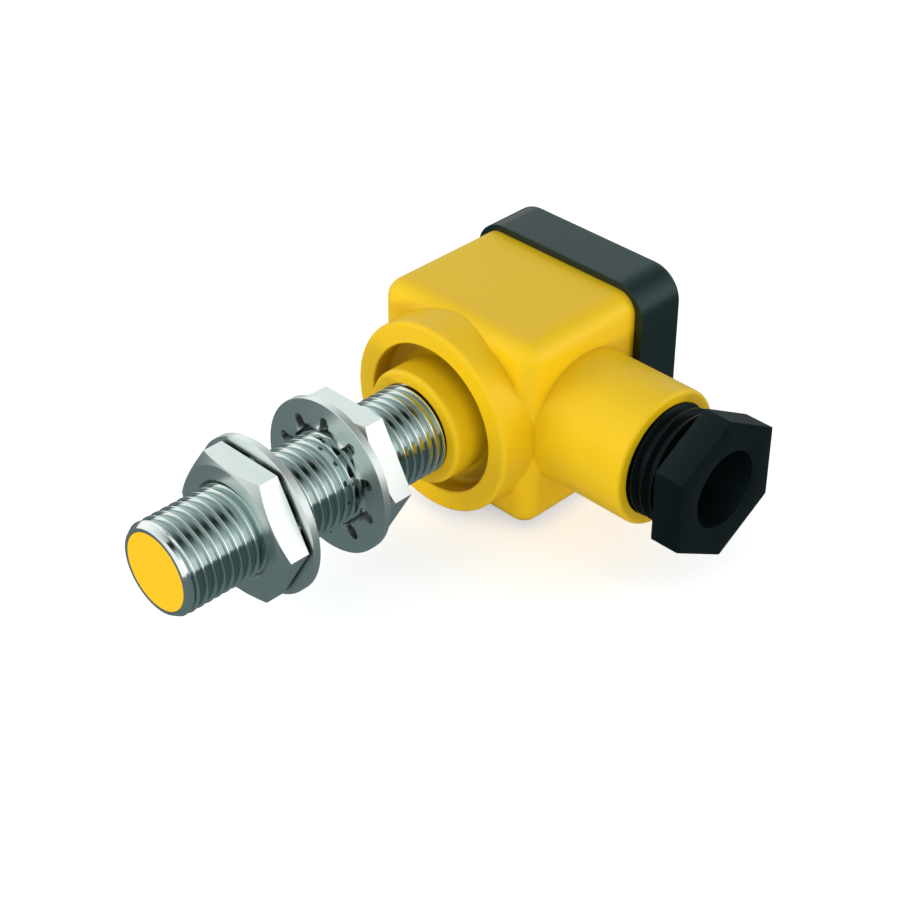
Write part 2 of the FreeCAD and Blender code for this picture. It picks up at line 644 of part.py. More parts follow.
def make_terminal_clamp(z):
    """Brass cage with a wire hole, a threaded hole and a solder leg."""
    half = CLAMP_SIDE / 2
    x = BLOCK_CENTRE_X
    cage = block(x - half, x + half, WIRE_HOLE_Y - half, WIRE_HOLE_Y + half, z - half, z + half)
    leg = round_bar_y(CLAMP_LEG_DIA / 2, TERMINAL_BOARD_Y - CLAMP_LEG_PROUD, WIRE_HOLE_Y - half, x, z)
    wire_way = round_bar_x(WIRE_HOLE_DIA / 2, x - half, x + half, WIRE_HOLE_Y, z)
    thread = round_bar_y(CLAMP_SCREW_DIA / 2 + CLAMP_SCREW_FIT, WIRE_HOLE_Y, WIRE_HOLE_Y + half, x, z)
    return cage.fuse(leg).cut([wire_way, thread])


def make_terminal_screw(z):
    """Slotted clamp screw, sunk in the block's top."""
    x = BLOCK_CENTRE_X
    head_top_y = BLOCK_BASE_Y + BLOCK_HEIGHT - CLAMP_SCREW_SINK
    head_base_y = head_top_y - CLAMP_SCREW_HEAD_HEIGHT
    head_r = CLAMP_SCREW_HEAD_DIA / 2
    tip_y = WIRE_HOLE_Y + CLAMP_SIDE / 4
    screw = round_bar_y(CLAMP_SCREW_DIA / 2, tip_y, head_base_y, x, z)
    screw = screw.fuse(round_bar_y(head_r, head_base_y, head_top_y, x, z))
    half_slot = CLAMP_SCREW_SLOT / 2
    slot = block(x - head_r, x + head_r, head_top_y - CLAMP_SCREW_SLOT, head_top_y,
                 z - half_slot, z + half_slot)
    return screw.cut(slot)


def make_gland_screw():
    """Hollow hexagon compression screw of the gland, with the turns of its thread that show."""
    corner_radius, angles = hexagon(GLAND_HEX_ACROSS_FLATS, 30)
    corners = [Vector(GLAND_HEX_X, GLAND_Y + corner_radius * math.cos(angle),
                      GLAND_Z + corner_radius * math.sin(angle)) for angle in angles]
    head = Part.Face(Part.makePolygon(corners + [corners[0]])).extrude(Vector(GLAND_HEX_THICKNESS, 0, 0))
    thread = ridge_outline(GLAND_BOSS_END_X - GLAND_PITCH, GLAND_HEX_X, GLAND_PITCH, GLAND_THREAD_R,
                           GLAND_RIDGE_HEIGHT, GLAND_RIDGE_RUN, GLAND_RIDGE_CREST, GLAND_RIDGE_RUN)
    outline = [(GLAND_CABLE_R, GLAND_SCREW_TIP_X), (GLAND_THREAD_R, GLAND_SCREW_TIP_X)]
    outline += [(GLAND_THREAD_R, GLAND_BOSS_END_X - GLAND_PITCH)]
    outline += thread + [(GLAND_THREAD_R, GLAND_HEX_X), (GLAND_CABLE_R, GLAND_HEX_X)]
    stem_corners = [Vector(place, GLAND_Y + radius, GLAND_Z) for radius, place in outline]
    section = Part.Face(Part.makePolygon(stem_corners + [stem_corners[0]]))
    stem = section.revolve(Vector(0, GLAND_Y, GLAND_Z), Vector(1, 0, 0), 360)
    bore = round_bar_x(GLAND_CABLE_R, GLAND_HEX_X, GLAND_HEX_X + GLAND_HEX_THICKNESS)
    return head.cut(bore).fuse(stem)


def make_gland_thrust_ring():
    """Slip ring that the gland screw pushes ahead of it."""
    rear_x = GLAND_SCREW_TIP_X - THRUST_RING_GAP
    front_x = rear_x - THRUST_RING_THICKNESS
    ring = round_bar_x(GLAND_THREAD_R, front_x, rear_x)
    return ring.cut(round_bar_x(GLAND_CABLE_R, front_x, rear_x))


def make_gland_seal():
    """Rubber grommet on the bore's floor, funnelled towards the cable."""
    end_x = GLAND_BORE_FLOOR_X + SEAL_LENGTH
    hole_r = SEAL_HOLE_DIA / 2
    seal = round_bar_x(GLAND_THREAD_R, GLAND_BORE_FLOOR_X, end_x)
    funnel = Part.makeCone(hole_r, hole_r + SEAL_FUNNEL, SEAL_FUNNEL,
                           Vector(end_x - SEAL_FUNNEL, GLAND_Y, GLAND_Z), Vector(1, 0, 0))
    return seal.cut([round_bar_x(hole_r, GLAND_BORE_FLOOR_X, end_x), funnel])


def build():
    """Make every piece in its place and write its file."""
    front_nut_y = FRONT_NUT_REAR_Y - NUT_THICKNESS
    front_washer_y = FRONT_NUT_REAR_Y + washer_step()
    rear_washer_y = front_washer_y + WASHER_THICKNESS + PANEL_GAP
    rear_nut_y = rear_washer_y + WASHER_THICKNESS + washer_step()
    export("threaded_barrel", [make_threaded_barrel()])
    export("sensing_cap", [make_sensing_cap()])
    export("ferrite_core", [make_ferrite_core()])
    export("coil_bobbin", [make_coil_bobbin()])
    export("coil_winding", [make_coil_winding()])
    board = make_circuit_board()
    components = make_board_components()
    export("circuit_board", [board])
    export("board_components", components)
    export("potting_resin", [make_potting_resin(board, components)])
    export("front_lock_nut", [make_lock_nut(front_nut_y)])
    export("front_lock_washer", [make_lock_washer(front_washer_y)])
    export("rear_lock_washer", [make_lock_washer(rear_washer_y)])
    export("rear_lock_nut", [make_lock_nut(rear_nut_y)])
    export("terminal_housing", [make_terminal_housing()])
    gasket = gasket_ring()
    export("cover_gasket", [gasket])
    export("rear_cover", [make_rear_cover(gasket)])
    export("cover_screws", [make_cover_screw(x, z) for x, z in screw_corners()])
    export("terminal_board", [make_terminal_board()])
    export("terminal_block", [make_terminal_block()])
    export("terminal_clamps", [make_terminal_clamp(z) for z in pole_places()])
    export("terminal_screws", [make_terminal_screw(z) for z in pole_places()])
    export("gland_screw", [make_gland_screw()])
    export("gland_thrust_ring", [make_gland_thrust_ring()])
    export("gland_seal", [make_gland_seal()])


build()
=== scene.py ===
import math

import bmesh
import bpy
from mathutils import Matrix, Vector


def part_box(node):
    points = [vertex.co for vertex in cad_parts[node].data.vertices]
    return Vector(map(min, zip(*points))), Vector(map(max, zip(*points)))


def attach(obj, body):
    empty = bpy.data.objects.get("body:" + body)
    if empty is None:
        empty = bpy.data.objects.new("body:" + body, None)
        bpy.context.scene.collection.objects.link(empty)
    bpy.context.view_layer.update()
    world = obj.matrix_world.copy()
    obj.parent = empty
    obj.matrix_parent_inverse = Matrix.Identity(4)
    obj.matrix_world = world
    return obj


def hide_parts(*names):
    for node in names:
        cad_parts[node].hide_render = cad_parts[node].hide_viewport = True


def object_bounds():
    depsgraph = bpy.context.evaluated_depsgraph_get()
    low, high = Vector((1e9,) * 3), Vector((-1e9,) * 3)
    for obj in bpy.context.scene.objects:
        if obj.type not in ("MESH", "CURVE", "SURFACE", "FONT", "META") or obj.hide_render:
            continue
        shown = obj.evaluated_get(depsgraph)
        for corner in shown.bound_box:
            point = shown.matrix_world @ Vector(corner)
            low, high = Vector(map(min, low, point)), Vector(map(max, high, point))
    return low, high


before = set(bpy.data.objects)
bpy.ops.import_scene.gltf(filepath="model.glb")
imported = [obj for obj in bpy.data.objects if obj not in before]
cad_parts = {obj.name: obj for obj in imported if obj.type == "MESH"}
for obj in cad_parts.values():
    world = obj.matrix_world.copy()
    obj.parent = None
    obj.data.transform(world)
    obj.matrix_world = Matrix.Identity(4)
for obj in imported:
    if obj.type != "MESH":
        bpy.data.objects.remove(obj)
CAD_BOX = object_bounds()

bl_info = {
    "name": "Inductive proximity sensor",
    "version": (1, 0, 0),
    "blender": (4, 5, 0),
    "location": "View3D > Sidebar > Sensor",
    "description": "Dresses the packed sensor: threads, plated metal, moulded plastic and a plain studio",
    "category": "Object",
}

# Lengths are metres in the part's own frame: the origin is the centre of the sensing face,
# the barrel runs back along +Y, the cable gland points along +X and +Z is up.
MM = 0.001

BARREL_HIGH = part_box("threaded_barrel")[1]
CAP_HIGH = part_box("sensing_cap")[1]
RESIN_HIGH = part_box("potting_resin")[1]
GLAND_LOW, GLAND_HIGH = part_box("gland_screw")
RING_LOW, RING_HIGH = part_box("gland_thrust_ring")

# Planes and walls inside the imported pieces, and the runs over which a thread fades in or out
CAP_LIP_DEPTH = 1.0 * MM
INNER_BOSS_FRONT = 40.5 * MM
GLAND_WALL = 2.3 * MM
BARREL_THREAD_FADE = 0.3 * MM
GLAND_THREAD_FADE = 0.5 * MM

# The barrel's thread carries painted shade up to the first height above its root and none from the second,
# and a washer's rim is duller between two distances in from its edge
ROOT_SHADE = (0.03 * MM, 0.12 * MM)
RIM_BAND = (0.15 * MM, 0.05 * MM)

# The photograph's camera, worked out from edge points of the picture
CAMERA_PLACE = Vector((152.750, -105.688, 146.115)) * MM
CAMERA_AZIMUTH = math.radians(45.0)
CAMERA_ELEVATION = math.radians(35.2644)
CAMERA_LENS_MM = 82.785
CAMERA_SENSOR_MM = 36.0

# The floor and the card just above it, centred under the housing
STAGE_CENTRE = Vector((0.0, 0.04, CAD_BOX[0][2]))
FLOOR_RADIUS = 4.0
FLOOR_DROP = Vector((0.0, 0.0, 0.05 * MM))
FLOOR_GLOW = (0.95, 1.0, 1.10, 1.0)
LOW_CARD_RADIUS = 3.0
LOW_CARD_DROP = Vector((0.0, 0.0, 0.02 * MM))
LOW_CARD_NEAR = (0.112, 0.154, 0.157)
LOW_CARD_FAR = (0.096, 0.133, 0.138)
LOW_CARD_REACH = 0.05

# The card overhead that the metal reflects: its centre, its reach and how it fades into the white room,
# as (share of the reach, brightness) stops, with its red a little lower
HIGH_CARD_PLACE = Vector((0.106, 0.431, 0.6))
HIGH_CARD_REACH = 1.3
HIGH_CARD_FADE = ((0.0, 0.0), (0.065, 0.01), (0.135, 0.14), (0.25, 0.42), (0.4, 0.68), (0.61, 0.88),
                  (1.0, 1.0))
HIGH_CARD_RED = 0.93

# The card at the right, the sky and the soft lamps
RIGHT_CARD_TONE = (1.25, 1.25, 1.25)
RIGHT_CARD_REACH = 1.0
SKY_TINT = (0.95, 1.0, 0.97, 1.0)
LAMP_TARGET = Vector((0.01, 0.04, 0.0))
LAMP_DISTANCE = 0.9
LAMP_COLOUR = (1.0, 0.95, 0.88)

# How finely the materials and the new meshes are made
BEVEL_SAMPLES = 6
SEGMENTS_PER_TURN = 120
EDGE_SHARES = (0.33, 0.67, 1.0)
WASHER_ROWS = 8
WASHER_COLUMNS = 14
WASHER_EDGE = 0.04 * MM
MERGE_DISTANCE = 1e-7
SHARP_ANGLE = math.radians(32.0)


class SensorSizes(bpy.types.PropertyGroup):
    """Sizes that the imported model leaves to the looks."""

    barrel_pitch: bpy.props.FloatProperty(
        name="Barrel pitch", description="Distance between two turns of the barrel's thread",
        default=1.25 * MM, unit="LENGTH", precision=5)
    barrel_thread_depth: bpy.props.FloatProperty(
        name="Barrel thread depth", description="From crest to root of the barrel's thread",
        default=0.4 * MM, unit="LENGTH", precision=5)
    rim_length: bpy.props.FloatProperty(
        name="Rim length", description="Length of the plain chamfered rim before the first turn",
        default=0.8 * MM, unit="LENGTH", precision=5)
    rim_rise: bpy.props.FloatProperty(
        name="Rim rise", description="How much the chamfered rim narrows towards the sensing face",
        default=0.5 * MM, unit="LENGTH", precision=5)
    cap_fit: bpy.props.FloatProperty(
        name="Cap fit", description="Radial play between the sensing cap's lip and the barrel's mouth",
        default=0.05 * MM, unit="LENGTH", precision=5)
    thread_end: bpy.props.FloatProperty(
        name="Thread end", description="How far the barrel's thread runs into the housing's inner boss",
        default=1.5 * MM, unit="LENGTH", precision=5)
    tooth_count: bpy.props.IntProperty(
        name="Washer teeth", description="Number of inner teeth of a lock washer", default=10, min=3)
    slot_width: bpy.props.FloatProperty(
        name="Washer slot width", description="Width of the round-ended slots between the teeth",
        default=1.45 * MM, unit="LENGTH", precision=5)
    slot_length: bpy.props.FloatProperty(
        name="Washer slot length", description="From the teeth's tips to the round end of a slot",
        default=2.0 * MM, unit="LENGTH", precision=5)
    washer_thickness: bpy.props.FloatProperty(
        name="Washer thickness", description="Thickness of a lock washer's flat ring",
        default=1.0 * MM, unit="LENGTH", precision=5)
    tooth_twist: bpy.props.FloatProperty(
        name="Tooth twist", description="How far a tooth's tip is turned out of the washer's plane",
        default=math.radians(18.0), unit="ROTATION")
    twist_length: bpy.props.FloatProperty(
        name="Twist length", description="From a tooth's tip to where its twist runs out",
        default=0.65 * MM, unit="LENGTH", precision=5)
    tip_clearance: bpy.props.FloatProperty(
        name="Tip clearance", description="From the barrel's crests to the washer's teeth",
        default=0.45 * MM, unit="LENGTH", precision=5)
    gland_pitch: bpy.props.FloatProperty(
        name="Gland pitch", description="Distance between two turns of the gland screw's thread",
        default=1.5 * MM, unit="LENGTH", precision=5)
    gland_thread_depth: bpy.props.FloatProperty(
        name="Gland thread depth", description="From crest to root of the gland screw's thread",
        default=0.75 * MM, unit="LENGTH", precision=5)
    gland_head: bpy.props.FloatProperty(
        name="Gland head", description="Thickness of the gland screw's hexagon head",
        default=4.0 * MM, unit="LENGTH", precision=5)
    gland_edge: bpy.props.FloatProperty(
        name="Gland edge", description="Radius of the moulded edges of the hexagon head",
        default=0.07 * MM, unit="LENGTH", precision=5)


class SensorColours(bpy.types.PropertyGroup):
    """Base colours of the finishes that a user may want to change."""

    housing: bpy.props.FloatVectorProperty(
        name="Housing", description="Moulded plastic of the terminal housing",
        default=(0.830, 0.530, 0.005), subtype="COLOR", min=0.0, max=1.0)
    sensing_face: bpy.props.FloatVectorProperty(
        name="Sensing face", description="Matt plastic of the sensing cap",
        default=(0.900, 0.490, 0.009), subtype="COLOR", min=0.0, max=1.0)
    cover: bpy.props.FloatVectorProperty(
        name="Cover", description="Moulded plastic of the rear cover",
        default=(0.004, 0.011, 0.012), subtype="COLOR", min=0.0, max=1.0)
    gland: bpy.props.FloatVectorProperty(
        name="Gland", description="Moulded plastic of the cable gland",
        default=(0.002, 0.004, 0.005), subtype="COLOR", min=0.0, max=1.0)
    plating: bpy.props.FloatVectorProperty(
        name="Plating", description="Nickel plate of the barrel and the nuts",
        default=(0.900, 0.945, 0.925), subtype="COLOR", min=0.0, max=1.0)
    spring_steel: bpy.props.FloatVectorProperty(
        name="Spring steel", description="Zinc-plated steel of the toothed washers",
        default=(0.900, 0.955, 0.935), subtype="COLOR", min=0.0, max=1.0)


class SensorStage(bpy.types.PropertyGroup):
    """Light of the plain studio."""

    sky_level: bpy.props.FloatProperty(
        name="Sky level", description="Strength of the even light from all round", default=0.60, min=0.0)
    left_power: bpy.props.FloatProperty(
        name="Left lamp", description="Power of the soft lamp that faces the sensing face from the left",
        default=4.0, min=0.0, unit="POWER")
    right_power: bpy.props.FloatProperty(
        name="Right lamp", description="Power of the soft lamp behind the gland on the right",
        default=2.7, min=0.0, unit="POWER")
    front_power: bpy.props.FloatProperty(
        name="Front lamp", description="Power of the low soft lamp under the camera",
        default=2.8, min=0.0, unit="POWER")
    floor_lift: bpy.props.FloatProperty(
        name="Floor lift", description="What the camera sees on top of the lit floor, for a white ground",
        default=0.46, min=0.0, max=1.0)


def new_group(name, inputs, outputs):
    """Shader node group with named sockets. Returns the group, its input and its output node."""
    group = bpy.data.node_groups.new(name, "ShaderNodeTree")
    for label, kind, default in inputs:
        socket = group.interface.new_socket(name=label, in_out="INPUT", socket_type=kind)
        socket.default_value = default
    for label, kind in outputs:
        group.interface.new_socket(name=label, in_out="OUTPUT", socket_type=kind)
    return group, group.nodes.new("NodeGroupInput"), group.nodes.new("NodeGroupOutput")


def set_sockets(tree, node, values):
    """Give each named input a value, or a link from another node's output."""
    for socket, value in values.items():
        if isinstance(value, bpy.types.NodeSocket):
            tree.links.new(value, node.inputs[socket])
        else:
            node.inputs[socket].default_value = value


def add_node(tree, kind, values=None, **settings):
    """Node of one kind with its settings and its inputs' values or links."""
    node = tree.nodes.new(kind)
    for key, value in settings.items():
        setattr(node, key, value)
    set_sockets(tree, node, values or {})
    return node


def add_math(tree, operation, *terms, **settings):
    """Output of a maths node on numbers and other nodes' outputs."""
    node = add_node(tree, "ShaderNodeMath", dict(enumerate(terms)), operation=operation, **settings)
    return node.outputs[0]


def object_place(tree):
    """Place on the piece, in the part's own frame."""
    return tree.nodes.new("ShaderNodeTexCoord").outputs["Object"]


def place_about_axis(tree):
    """Distance from the barrel's axis, and place along it."""
    parts = add_node(tree, "ShaderNodeSeparateXYZ", {0: object_place(tree)})
    across = add_node(tree, "ShaderNodeCombineXYZ", {"X": parts.outputs["X"], "Z": parts.outputs["Z"]})
    radius = add_node(tree, "ShaderNodeVectorMath", {0: across.outputs[0]}, operation="LENGTH")
    return radius.outputs["Value"], parts.outputs["Y"]


def build_drift_group():
    """Slow drift of colour and roughness over a surface."""
    group, start, end = new_group(
        "Surface drift",
        [("Color", "NodeSocketColor", (0.8, 0.8, 0.8, 1.0)), ("Amount", "NodeSocketFloat", 0.04),
         ("Scale", "NodeSocketFloat", 200.0), ("Roughness", "NodeSocketFloat", 0.4),
         ("Roughness Amount", "NodeSocketFloat", 0.1)],
        [("Color", "NodeSocketColor"), ("Roughness", "NodeSocketFloat")])
    noise = add_node(group, "ShaderNodeTexNoise", {
        "Vector": object_place(group), "Scale": start.outputs["Scale"], "Detail": 4.0, "Roughness": 0.6})
    centred = add_math(group, "SUBTRACT", noise.outputs["Fac"], 0.5)
    tint = add_math(group, "MULTIPLY", start.outputs["Amount"], 2.0)
    gain = add_math(group, "MULTIPLY_ADD", centred, tint, 1.0)
    tinted = add_node(group, "ShaderNodeVectorMath", {0: start.outputs["Color"], "Scale": gain},
                      operation="SCALE")
    rough = add_math(group, "MULTIPLY_ADD", centred, start.outputs["Roughness Amount"],
                     start.outputs["Roughness"])
    set_sockets(group, end, {"Color": tinted.outputs[0], "Roughness": rough})
    return group


def build_grain_group():
    """Fine even grain, as a height."""
    group, start, end = new_group(
        "Moulded grain",
        [("Scale", "NodeSocketFloat", 3000.0), ("Detail", "NodeSocketFloat", 3.0)],
        [("Height", "NodeSocketFloat")])
    noise = add_node(group, "ShaderNodeTexNoise", {
        "Vector": object_place(group), "Scale": start.outputs["Scale"], "Detail": start.outputs["Detail"],
        "Roughness": 0.65})
    set_sockets(group, end, {"Height": noise.outputs["Fac"]})
    return group


def build_turning_group():
    """Fine rings of a lathe tool about the barrel's axis, as a height and a mask."""
    group, start, end = new_group(
        "Turning marks",
        [("Scale", "NodeSocketFloat", 9000.0)],
        [("Height", "NodeSocketFloat"), ("Mask", "NodeSocketFloat")])
    radius, along = place_about_axis(group)
    rings = add_node(group, "ShaderNodeCombineXYZ", {"X": radius, "Y": along}).outputs[0]
    fine = add_node(group, "ShaderNodeTexNoise", {
        "Vector": rings, "Scale": start.outputs["Scale"], "Detail": 2.0}, noise_dimensions="2D")
    wider = add_math(group, "MULTIPLY", start.outputs["Scale"], 0.12)
    broad = add_node(group, "ShaderNodeTexNoise", {
        "Vector": rings, "Scale": wider, "Detail": 3.0}, noise_dimensions="2D")
    set_sockets(group, end, {"Height": fine.outputs["Fac"], "Mask": broad.outputs["Fac"]})
    return group


def build_edge_group():
    """Mask of outer edges, broken up by noise: rubbed or bloomed edges, and on metal partly a painted
    highlight.
    """
    group, start, end = new_group(
        "Edge wear",
        [("Radius", "NodeSocketFloat", 0.1 * MM), ("Gain", "NodeSocketFloat", 6.0),
         ("Scale", "NodeSocketFloat", 2500.0)],
        [("Mask", "NodeSocketFloat")])
    bevel = add_node(group, "ShaderNodeBevel", {"Radius": start.outputs["Radius"]}, samples=BEVEL_SAMPLES)
    normal = group.nodes.new("ShaderNodeNewGeometry").outputs["Normal"]
    same = add_node(group, "ShaderNodeVectorMath", {0: bevel.outputs["Normal"], 1: normal},
                    operation="DOT_PRODUCT")
    bent = add_math(group, "SUBTRACT", 1.0, same.outputs["Value"])
    noise = add_node(group, "ShaderNodeTexNoise", {
        "Vector": object_place(group), "Scale": start.outputs["Scale"], "Detail": 5.0, "Roughness": 0.7})
    broken = add_math(group, "MULTIPLY", bent, noise.outputs["Fac"])
    strong = add_math(group, "MULTIPLY", broken, start.outputs["Gain"], use_clamp=True)
    set_sockets(group, end, {"Mask": strong})
    return group


def build_crevice_group():
    """Mask of inner corners and recesses, for painted shade."""
    group, start, end = new_group(
        "Crevice shade",
        [("Distance", "NodeSocketFloat", 3.0 * MM), ("Threshold", "NodeSocketFloat", 0.38),
         ("Full", "NodeSocketFloat", 0.90)],
        [("Mask", "NodeSocketFloat")])
    open_share = add_node(group, "ShaderNodeAmbientOcclusion", {"Distance": start.outputs["Distance"]},
                          samples=8)
    closed = add_math(group, "SUBTRACT", 1.0, open_share.outputs["AO"])
    painted_shade = add_node(group, "ShaderNodeMapRange", {
        "Value": closed, "From Min": start.outputs["Threshold"], "From Max": start.outputs["Full"]})
    set_sockets(group, end, {"Mask": painted_shade.outputs["Result"]})
    return group


def build_thread_group():
    """Mask about the barrel's axis: 1 up to the root's radius, 0 from the crest's and before the start."""
    group, start, end = new_group(
        "Thread root",
        [("Root", "NodeSocketFloat", 5.6 * MM), ("Crest", "NodeSocketFloat", 6.0 * MM),
         ("Start", "NodeSocketFloat", 0.0)],
        [("Mask", "NodeSocketFloat")])
    radius, along = place_about_axis(group)
    depth = add_node(group, "ShaderNodeMapRange", {
        "Value": radius, "From Min": start.outputs["Root"], "From Max": start.outputs["Crest"],
        "To Min": 1.0, "To Max": 0.0}, interpolation_type="SMOOTHSTEP")
    started = add_math(group, "GREATER_THAN", along, start.outputs["Start"])
    mask = add_math(group, "MULTIPLY", depth.outputs["Result"], started)
    set_sockets(group, end, {"Mask": mask})
    return group


GROUP_BUILDERS = {
    "Surface drift": build_drift_group,
    "Crevice shade": build_crevice_group,
    "Thread root": build_thread_group,
    "Moulded grain": build_grain_group,
    "Turning marks": build_turning_group,
    "Edge wear": build_edge_group,
}


def place_group(tree, name, values):
    """Group node in a material, its group built the first time that it is asked for."""
    group = bpy.data.node_groups.get(name) or GROUP_BUILDERS[name]()
    return add_node(tree, "ShaderNodeGroup", values, node_tree=group)


def surface_tree(owner, surface, output):
    """Node tree of a new material or world, and the surface node that it ends in."""
    owner.use_nodes = True
    tree = owner.node_tree
    tree.nodes.clear()
    shader = tree.nodes.new(surface)
    add_node(tree, output, {"Surface": shader.outputs[0]})
    return tree, shader


def blank_material(name, surface="ShaderNodeBsdfPrincipled"):
    """New node material. Returns it, its tree and its surface node."""
    material = bpy.data.materials.new(name)
    tree, shader = surface_tree(material, surface, "ShaderNodeOutputMaterial")
    return material, tree, shader


def opaque(colour):
    """Colour with full alpha."""
    return (colour[0], colour[1], colour[2], 1.0)


def blend_colours(tree, mask, under, over_colour):
    """Colour output that is the colour under the mask, and another where the mask is 1."""
    mix = add_node(tree, "ShaderNodeMix", {"Factor": mask, "A": under, "B": opaque(over_colour)},
                   data_type="RGBA")
    for socket in mix.outputs:
        if socket.type == "RGBA":
            return socket
    raise RuntimeError("the mix node has no colour output")


def drifting(tree, colour, roughness, amount, scale, spread):
    """Colour and roughness outputs that drift over the surface, the roughness by the spread."""
    tone = place_group(tree, "Surface drift", {
        "Color": opaque(colour), "Amount": amount, "Scale": scale,
        "Roughness": roughness, "Roughness Amount": spread})
    return tone.outputs["Color"], tone.outputs["Roughness"]


def dress(tree, shader, colour, roughness, height, strength, depth, edge_radius=0.0):
    """Colour, roughness and bump of a surface, over edges that look rounded where a radius is given."""
    bump = add_node(tree, "ShaderNodeBump", {"Strength": strength, "Distance": depth, "Height": height})
    if edge_radius > 0.0:
        bevel = add_node(tree, "ShaderNodeBevel", {"Radius": edge_radius}, samples=BEVEL_SAMPLES)
        set_sockets(tree, bump, {"Normal": bevel.outputs["Normal"]})
    set_sockets(tree, shader, {
        "Base Color": colour, "Roughness": roughness, "Normal": bump.outputs["Normal"]})


def moulded_plastic(name, colour, roughness, worn_colour, edge_radius, grain_depth=0.004 * MM, drift=0.025,
                    shade=None, shade_reach=3.0 * MM, gloss=0.5, gloss_tint=(1.0, 1.0, 1.0)):
    """Moulded plastic: slow colour drift, fine grain, polished edges and painted shade in recesses."""
    material, tree, shader = blank_material(name)
    tone, rough = drifting(tree, colour, roughness, amount=drift, scale=160.0, spread=0.12)
    wear = place_group(tree, "Edge wear", {"Radius": 1.2 * edge_radius, "Gain": 1.6, "Scale": 1800.0})
    grain = place_group(tree, "Moulded grain", {"Scale": 5200.0, "Detail": 3.0})
    tone = blend_colours(tree, wear.outputs["Mask"], tone, worn_colour)
    # shade is the colour of painted shade laid into recesses within shade_reach.
    if shade:
        painted_shade_mask = place_group(tree, "Crevice shade", {"Distance": shade_reach})
        tone = blend_colours(tree, painted_shade_mask.outputs["Mask"], tone, shade)
    set_sockets(tree, shader, {"IOR": 1.5, "Specular IOR Level": gloss, "Specular Tint": opaque(gloss_tint)})
    dress(tree, shader, tone, rough, grain.outputs["Height"], strength=0.35, depth=grain_depth,
          edge_radius=edge_radius)
    return material


def plated_metal(name, colour, roughness, thread=None, painted_root_shade=None, painted_shade_reach=0.0,
                 rim=None, rim_dulling=0.0):
    """Plated metal with faint lathe rings, a slow drift of gloss and lighter rubbed edges that are partly a
    painted highlight.

    thread says where a darker root colour paints shade into the roots of a thread, a reach paints shade into
    recesses up to about that width, and rim says beyond which radius the metal is rougher by rim_dulling.
    """
    material, tree, shader = blank_material(name)
    tone, rough = drifting(tree, colour, roughness, amount=0.02, scale=260.0, spread=0.06)
    marks = place_group(tree, "Turning marks", {"Scale": 9000.0})
    wear = place_group(tree, "Edge wear", {"Radius": 0.09 * MM, "Gain": 0.3, "Scale": 3000.0})
    # Edges lighter than the plating: partly rubbed, partly a painted highlight.
    worn_and_highlit = [min(1.0, 1.16 * channel) for channel in colour]
    tone = blend_colours(tree, wear.outputs["Mask"], tone, worn_and_highlit)
    # Painted shade in the roots of a thread.
    if thread:
        root = place_group(tree, "Thread root", thread)
        tone = blend_colours(tree, root.outputs["Mask"], tone, painted_root_shade)
    # Painted shade in recesses, a fifth of the plating's colour.
    if painted_shade_reach:
        painted_shade_mask = place_group(tree, "Crevice shade", {
            "Distance": painted_shade_reach, "Threshold": 0.36, "Full": 0.66})
        painted_shade = [0.20 * channel for channel in colour]
        tone = blend_colours(tree, painted_shade_mask.outputs["Mask"], tone, painted_shade)
    if rim:
        inner = place_group(tree, "Thread root", rim)
        dulling = add_node(tree, "ShaderNodeMapRange", {
            "Value": inner.outputs["Mask"], "To Min": rim_dulling, "To Max": 0.0})
        rough = add_math(tree, "ADD", dulling.outputs["Result"], rough)
    rough = add_math(tree, "MULTIPLY_ADD", marks.outputs["Mask"], 0.04, rough)
    set_sockets(tree, shader, {"Metallic": 1.0})
    dress(tree, shader, tone, rough, marks.outputs["Height"], strength=0.25, depth=0.0004 * MM)
    return material


def matt_rubber(name, colour):
    """Dull rubber with a pale bloom."""
    material, tree, shader = blank_material(name)
    tone, rough = drifting(tree, colour, roughness=0.82, amount=0.2, scale=420.0, spread=0.15)
    bloom = place_group(tree, "Edge wear", {"Radius": 0.2 * MM, "Gain": 0.8, "Scale": 2600.0})
    grain = place_group(tree, "Moulded grain", {"Scale": 3800.0, "Detail": 5.0})
    pale = [3.0 * channel for channel in colour]
    tone = blend_colours(tree, bloom.outputs["Mask"], tone, pale)
    dress(tree, shader, tone, rough, grain.outputs["Height"], strength=0.5, depth=0.01 * MM)
    return material


def sintered_ferrite(name, colour):
    """Matt sintered ceramic with an open pore."""
    material, tree, shader = blank_material(name)
    tone, rough = drifting(tree, colour, roughness=0.6, amount=0.12, scale=900.0, spread=0.2)
    pores = add_node(tree, "ShaderNodeTexVoronoi", {"Vector": object_place(tree), "Scale": 6000.0})
    dress(tree, shader, tone, rough, pores.outputs["Distance"], strength=0.5, depth=0.01 * MM)
    return material


def wound_wire(name, colour):
    """Enamelled wire laid in turns along the bobbin."""
    material, tree, shader = blank_material(name)
    tone, rough = drifting(tree, colour, roughness=0.3, amount=0.15, scale=1500.0, spread=0.1)
    turns = add_node(tree, "ShaderNodeTexWave", {
        "Vector": object_place(tree), "Scale": 1400.0, "Distortion": 0.4, "Detail": 1.0},
        wave_type="BANDS", bands_direction="Y")
    set_sockets(tree, shader, {"Metallic": 0.85})
    dress(tree, shader, tone, rough, turns.outputs["Fac"], strength=0.8, depth=0.05 * MM)
    return material


def circuit_laminate(name, mask_colour, track_colour):
    """Green solder resist over tracks that show through a little lighter."""
    material, tree, shader = blank_material(name)
    tone, rough = drifting(tree, mask_colour, roughness=0.32, amount=0.1, scale=700.0, spread=0.12)
    tracks = add_node(tree, "ShaderNodeTexBrick", {
        "Vector": object_place(tree), "Scale": 900.0, "Mortar Size": 0.03})
    tone = blend_colours(tree, tracks.outputs["Fac"], tone, track_colour)
    dress(tree, shader, tone, rough, tracks.outputs["Fac"], strength=0.4, depth=0.03 * MM)
    return material


